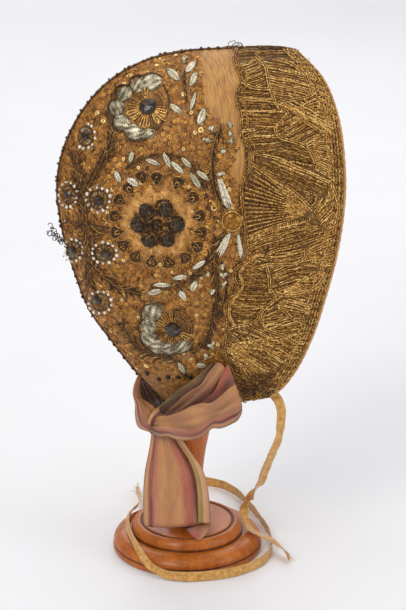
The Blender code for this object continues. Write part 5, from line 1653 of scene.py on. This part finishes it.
def loft(name, rows, nodes, step=1.25, cols=35, wrinkle=0.25, gap=1.2, seed=1.0, ease=True, shade=None):
    """Ribbon cloth through rows of points; the last number of a point is its place across the stripes."""
    c = np.asarray(rows, float)
    n, m = c.shape[:2]
    p = at_depth(c[..., :3])
    middle = p.mean(1)
    knots = np.concatenate([[0], np.cumsum(np.linalg.norm(np.diff(middle, axis=0), axis=1))])
    many = max(int(knots[-1] / step) + 2, 6)
    at = np.linspace(0, knots[-1], many)
    four = np.concatenate([p, c[..., 3:4]], -1)
    g = np.stack([[smooth(knots, four[:, j, k], at) for k in range(4)] for j in range(m)])  # m, 4, many
    xs, t = np.linspace(0, 1, m), np.linspace(0, 1, cols)
    fine = np.stack([[smooth(xs, g[:, k, i], t) for k in range(4)] for i in range(many)])  # many, 4, cols
    grid, across = fine[:, :3].transpose(0, 2, 1), fine[:, 3]
    du, dv = np.gradient(grid, axis=0), np.gradient(grid, axis=1)
    face = np.cross(du, dv)
    face /= np.linalg.norm(face, axis=-1, keepdims=True) + 1e-9
    s, tt = at[:, None], t[None]
    wave = wrinkle * (np.sin(tt * 23 + np.sin(s / 9 + seed) * 2.2 + seed) * 0.6 + np.sin(tt * 41 + s / 7 + seed * 3) * 0.4
                      + 0.5 * np.sin(s / 3.1 + 5 * tt + seed)) * np.sin(math.pi * np.clip(tt, 0.02, 0.98)) ** 0.4
    grid = grid + face * wave[..., None]
    if ease:
        q = grid.reshape(-1, 3)
        uv = chart_of(q)
        near = before_crown(uv, q[:, 1], gap)
        q = np.where((near < q[:, 1] - 0.01)[:, None], at_depth(np.concatenate([uv, near[:, None]], 1)), q)
        grid = q.reshape(grid.shape)
    thick = 0.2
    top, bottom = grid + face * thick, grid - face * thick
    total = many * cols
    quad = grid_quads(many, cols)
    idx = np.arange(total).reshape(many, cols)
    ring = np.concatenate([idx[0, :], idx[1:, -1], idx[-1, -2::-1], idx[-2:0:-1, 0]])
    nxt = np.roll(ring, -1)
    quads = np.concatenate([quad, quad[:, ::-1] + total, np.stack([nxt, ring, ring + total, nxt + total], -1)])
    v = np.concatenate([top.reshape(-1, 3), bottom.reshape(-1, 3)])
    st = np.stack(np.broadcast_arrays(s / 40.0, across), -1).reshape(-1, 2)
    # the tone carries painted shade from the shade function; 0.5 is none
    painted_shade_tone = np.full((many, cols), 0.5)
    if shade is not None:
        painted_shade_tone = np.clip(shade(np.broadcast_to((at / at[-1])[:, None], painted_shade_tone.shape), np.broadcast_to(tt, painted_shade_tone.shape)), 0.02, 0.5)
    obj = new_mesh(name, v, quads, np.zeros((0, 3), int), np.concatenate([painted_shade_tone.ravel(), painted_shade_tone.ravel()]), np.concatenate([st, st]), M_ribbon)
    if nodes:
        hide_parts(*nodes)
    area = float(np.sum(np.linalg.norm(np.cross(grid[1:, :-1] - grid[:-1, :-1], grid[:-1, 1:] - grid[:-1, :-1]), axis=-1)))
    long = float(np.mean(np.sum(np.linalg.norm(np.diff(grid, axis=0), axis=2), axis=0)))
    return obj, area / long, long


inner_rows = []
for row, y0 in zip(LOOP_INNER, INNER_DEPTH):
    a = np.asarray(row, float)
    base = before_crown(a[:, :2], np.full(len(a), float(y0)), 4.2)
    a[:, 2] = base + a[:, 2] * 0.85
    inner_rows.append(a)


def front_shade(s_, t_):
    """Painted shade of the front loop: in its hollows by the knot, at its waist and under its folded rim, rippled by
    bands of painted shade.
    """
    d_ = 0.20 + 0.42 * np.exp(-(s_ / 0.07) ** 2) + 0.20 * np.exp(-(((s_ - 0.66) / 0.07) ** 2 + ((t_ - 0.3) / 0.4) ** 2))
    d_ = d_ + 0.28 * np.exp(-((t_ - 0.0) / 0.05) ** 2) + 0.16 * np.exp(-((t_ - 0.62 - 0.1 * np.sin(s_ * 9)) / 0.09) ** 2) + 0.12 * np.sin(s_ * 15 + t_ * 4) + 0.06 * np.sin(t_ * 30 + s_ * 7)
    return 0.5 - 0.5 * np.clip(d_, 0, 0.85)


front = loft("ribbon_loop_front", LOOP_FRONT, ["ribbon_front_loop"], wrinkle=0.42, seed=0.4, shade=front_shade)


def inner_shade(s_, t_):
    """Painted shade in the deep folds of the loop's inside; the folds open towards the top, where it is lighter."""
    dark_ = 0.75 * np.exp(-((t_ - 0.16) / 0.10) ** 2) + 0.95 * np.exp(-((t_ - 0.72) / 0.08) ** 2) + 0.3 * np.exp(-((t_ - 0.0) / 0.05) ** 2)
    dark_ = dark_ + 0.8 * np.clip(s_ * 1.5 - 0.45, 0, 1) * np.clip(t_ * 1.6, 0.35, 1) + 0.34 * np.clip(1 - t_ * 1.7, 0, 1) + 0.30 * np.exp(-((t_ - 0.36) / 0.05) ** 2)
    dark_ = dark_ + 0.16 * np.sin(t_ * 46 + s_ * 5) * np.sin(s_ * 9 + 1)
    return 0.5 - 0.5 * np.clip(dark_, 0, 0.92)


inner = loft("ribbon_loop_inner", inner_rows, None, cols=61, wrinkle=0.12, seed=2.0, shade=inner_shade)
# painted shade: a little all over, deep where the back loop turns into the hollow behind the knot, and along a wavy
# line down its middle
backl = loft("ribbon_loop_back", LOOP_BACK, ["ribbon_back_loop"], wrinkle=0.3, seed=1.1, gap=0.8, ease=False,
             shade=lambda s_, t_: 0.42 - 0.40 * np.clip((s_ - 0.56) * 9, 0, 1) - 0.14 * np.exp(-((t_ - 0.45 - 0.1 * np.sin(s_ * 20)) / 0.12) ** 2))
tongue = loft("ribbon_loop_folded_edge", TONGUE, None, cols=15, wrinkle=0.05, seed=0.7)
# painted shade: the tail darkens under the front loop at its top, at its turned-under bottom end and along its far
# edge, with faint bands
tail = loft("ribbon_tail_cloth", TAIL, ["ribbon_tail"], cols=49, wrinkle=0.16, seed=3.2, ease=False,
            shade=lambda s_, t_: 0.5 - 0.5 * np.clip(0.06 + 0.75 * np.exp(-(s_ / 0.09) ** 2) * np.clip(t_ * 1.8, 0.25, 1) + 0.7 * np.exp(-((s_ - 0.97) / 0.05) ** 2)
                                                      + 0.16 * np.exp(-((t_ - 0.99) / 0.05) ** 2) + 0.06 * np.sin(t_ * 19 + s_ * 4), 0, 0.9))
fold = loft("ribbon_tail_turned_edge", TURNED, ["ribbon_tail_fold"], cols=15, wrinkle=0.05, seed=1.9, ease=False)
# painted shade over the corner, deepest where it leaves the tail's bottom edge
corner = loft("ribbon_tail_corner", CORNER, None, cols=21, wrinkle=0.05, seed=2.9, ease=False, shade=lambda s_, t_: 0.40 - 0.25 * np.exp(-(s_ / 0.25) ** 2))

# the knot: one turn of the ribbon drawn tight, puckered along its height
knot = Pile()
ang = np.linspace(0, 2 * math.pi, 97)
u = np.linspace(-1, 1, 25)
aa, uu = np.meshgrid(ang, u, indexing="ij")
rr = (1.0 - 0.34 * uu**4) * (1 + 0.07 * np.cos(9 * aa + 2.2 * uu) + 0.04 * np.cos(17 * aa - 3 * uu)) * (1 + 0.06 * np.sin(4.5 * uu + aa))
g = np.stack([-24.0 + 5.1 * rr * np.cos(aa), -11.4 + 8.4 * rr * np.sin(aa), 98.2 + 7.4 * uu * (1 - 0.06 * np.cos(aa))], -1)
st = np.stack([aa / 6.28, 0.30 + 0.25 * uu], -1)
knot.add(g, grid_quads(len(ang), len(u)), st=st)
for top_end in (0, len(u) - 1):
    ringv = g[:, top_end]
    mid_at = ringv.mean(0) + [0, 0, 0.6 if top_end else -0.6]
    v = np.concatenate([ringv, mid_at[None]])
    k = np.arange(len(ang) - 1)
    tri = np.stack([k, k + 1, np.full(len(k), len(ang))], -1)
    knot.add(v, None, tri if top_end else tri[:, ::-1], st=np.full((len(v), 2), 0.4))
for o in pour("ribbon_knot_cloth", knot, M_ribbon, sides=("right",)):
    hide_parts("ribbon_knot")

# ---------------------------------------------------------------- floor and light
floor_mesh = bpy.data.meshes.new("floor")
xs = np.linspace(-4, 4, 9)
gx = []
prof = [(-3.0, 0.0), (1.2, 0.0), (1.6, 0.03), (1.95, 0.14), (2.25, 0.38), (2.45, 0.75), (2.5, 1.2), (2.5, 3.5)]
for y, z in prof:
    gx += [(x, y, z - 0.0003) for x in xs]
floor_mesh.from_pydata(gx, [], [tuple(int(i) for i in f) for f in grid_quads(len(prof), len(xs))])
floor_mesh.shade_smooth()
floor = bpy.data.objects.new("floor", floor_mesh)
scene.collection.objects.link(floor)
fs = Shade("pale_paper", 0.7, 0.0)
fs.color(fs.ramp(fs.noise(3.0, 2.0), [(0.3, (240, 240, 242)), (0.7, (244, 244, 247))]))
floor_mesh.materials.append(fs.m)


def softbox(name, at, to, size, watts, tint=(1, 1, 1)):
    data = bpy.data.lights.new(name, "AREA")
    data.shape, data.size, data.size_y, data.energy, data.color = "RECTANGLE", size[0], size[1], watts, tint
    o = bpy.data.objects.new(name, data)
    scene.collection.objects.link(o)
    o.location = at
    o.rotation_mode = "QUATERNION"
    o.rotation_quaternion = (Vector(to) - Vector(at)).to_track_quat("-Z", "Y")
    return o


softbox("key", (-1.2, -1.3, 1.5), (0, 0, 0.18), (0.8, 1.0), 17.5, (1.0, 0.98, 0.94))
softbox("fill", (1.5, -1.2, 0.9), (0, 0, 0.18), (1.1, 1.4), 8, (0.98, 0.99, 1.0))
softbox("top", (0.0, 0.1, 1.9), (0, 0, 0.1), (1.6, 1.6), 11)
softbox("back", (0.4, 1.5, 1.2), (0, 0, 0.2), (1.6, 1.2), 10)
world = bpy.data.worlds.new("studio")
scene.world = world
world.use_nodes = True
bg = world.node_tree.nodes["Background"]
bg.inputs["Color"].default_value = (0.96, 0.965, 0.99, 1.0)
bg.inputs["Strength"].default_value = 0.41

for pile_name, pile in (("gold", gold), ("dark", dark), ("silver", silver), ("pearls", pearls), ("spangles", spangles),
                        ("threads", brim_threads), ("cords", brim_cords), ("braid", braid)):
    print("triangles", pile_name, pile.tris_count())
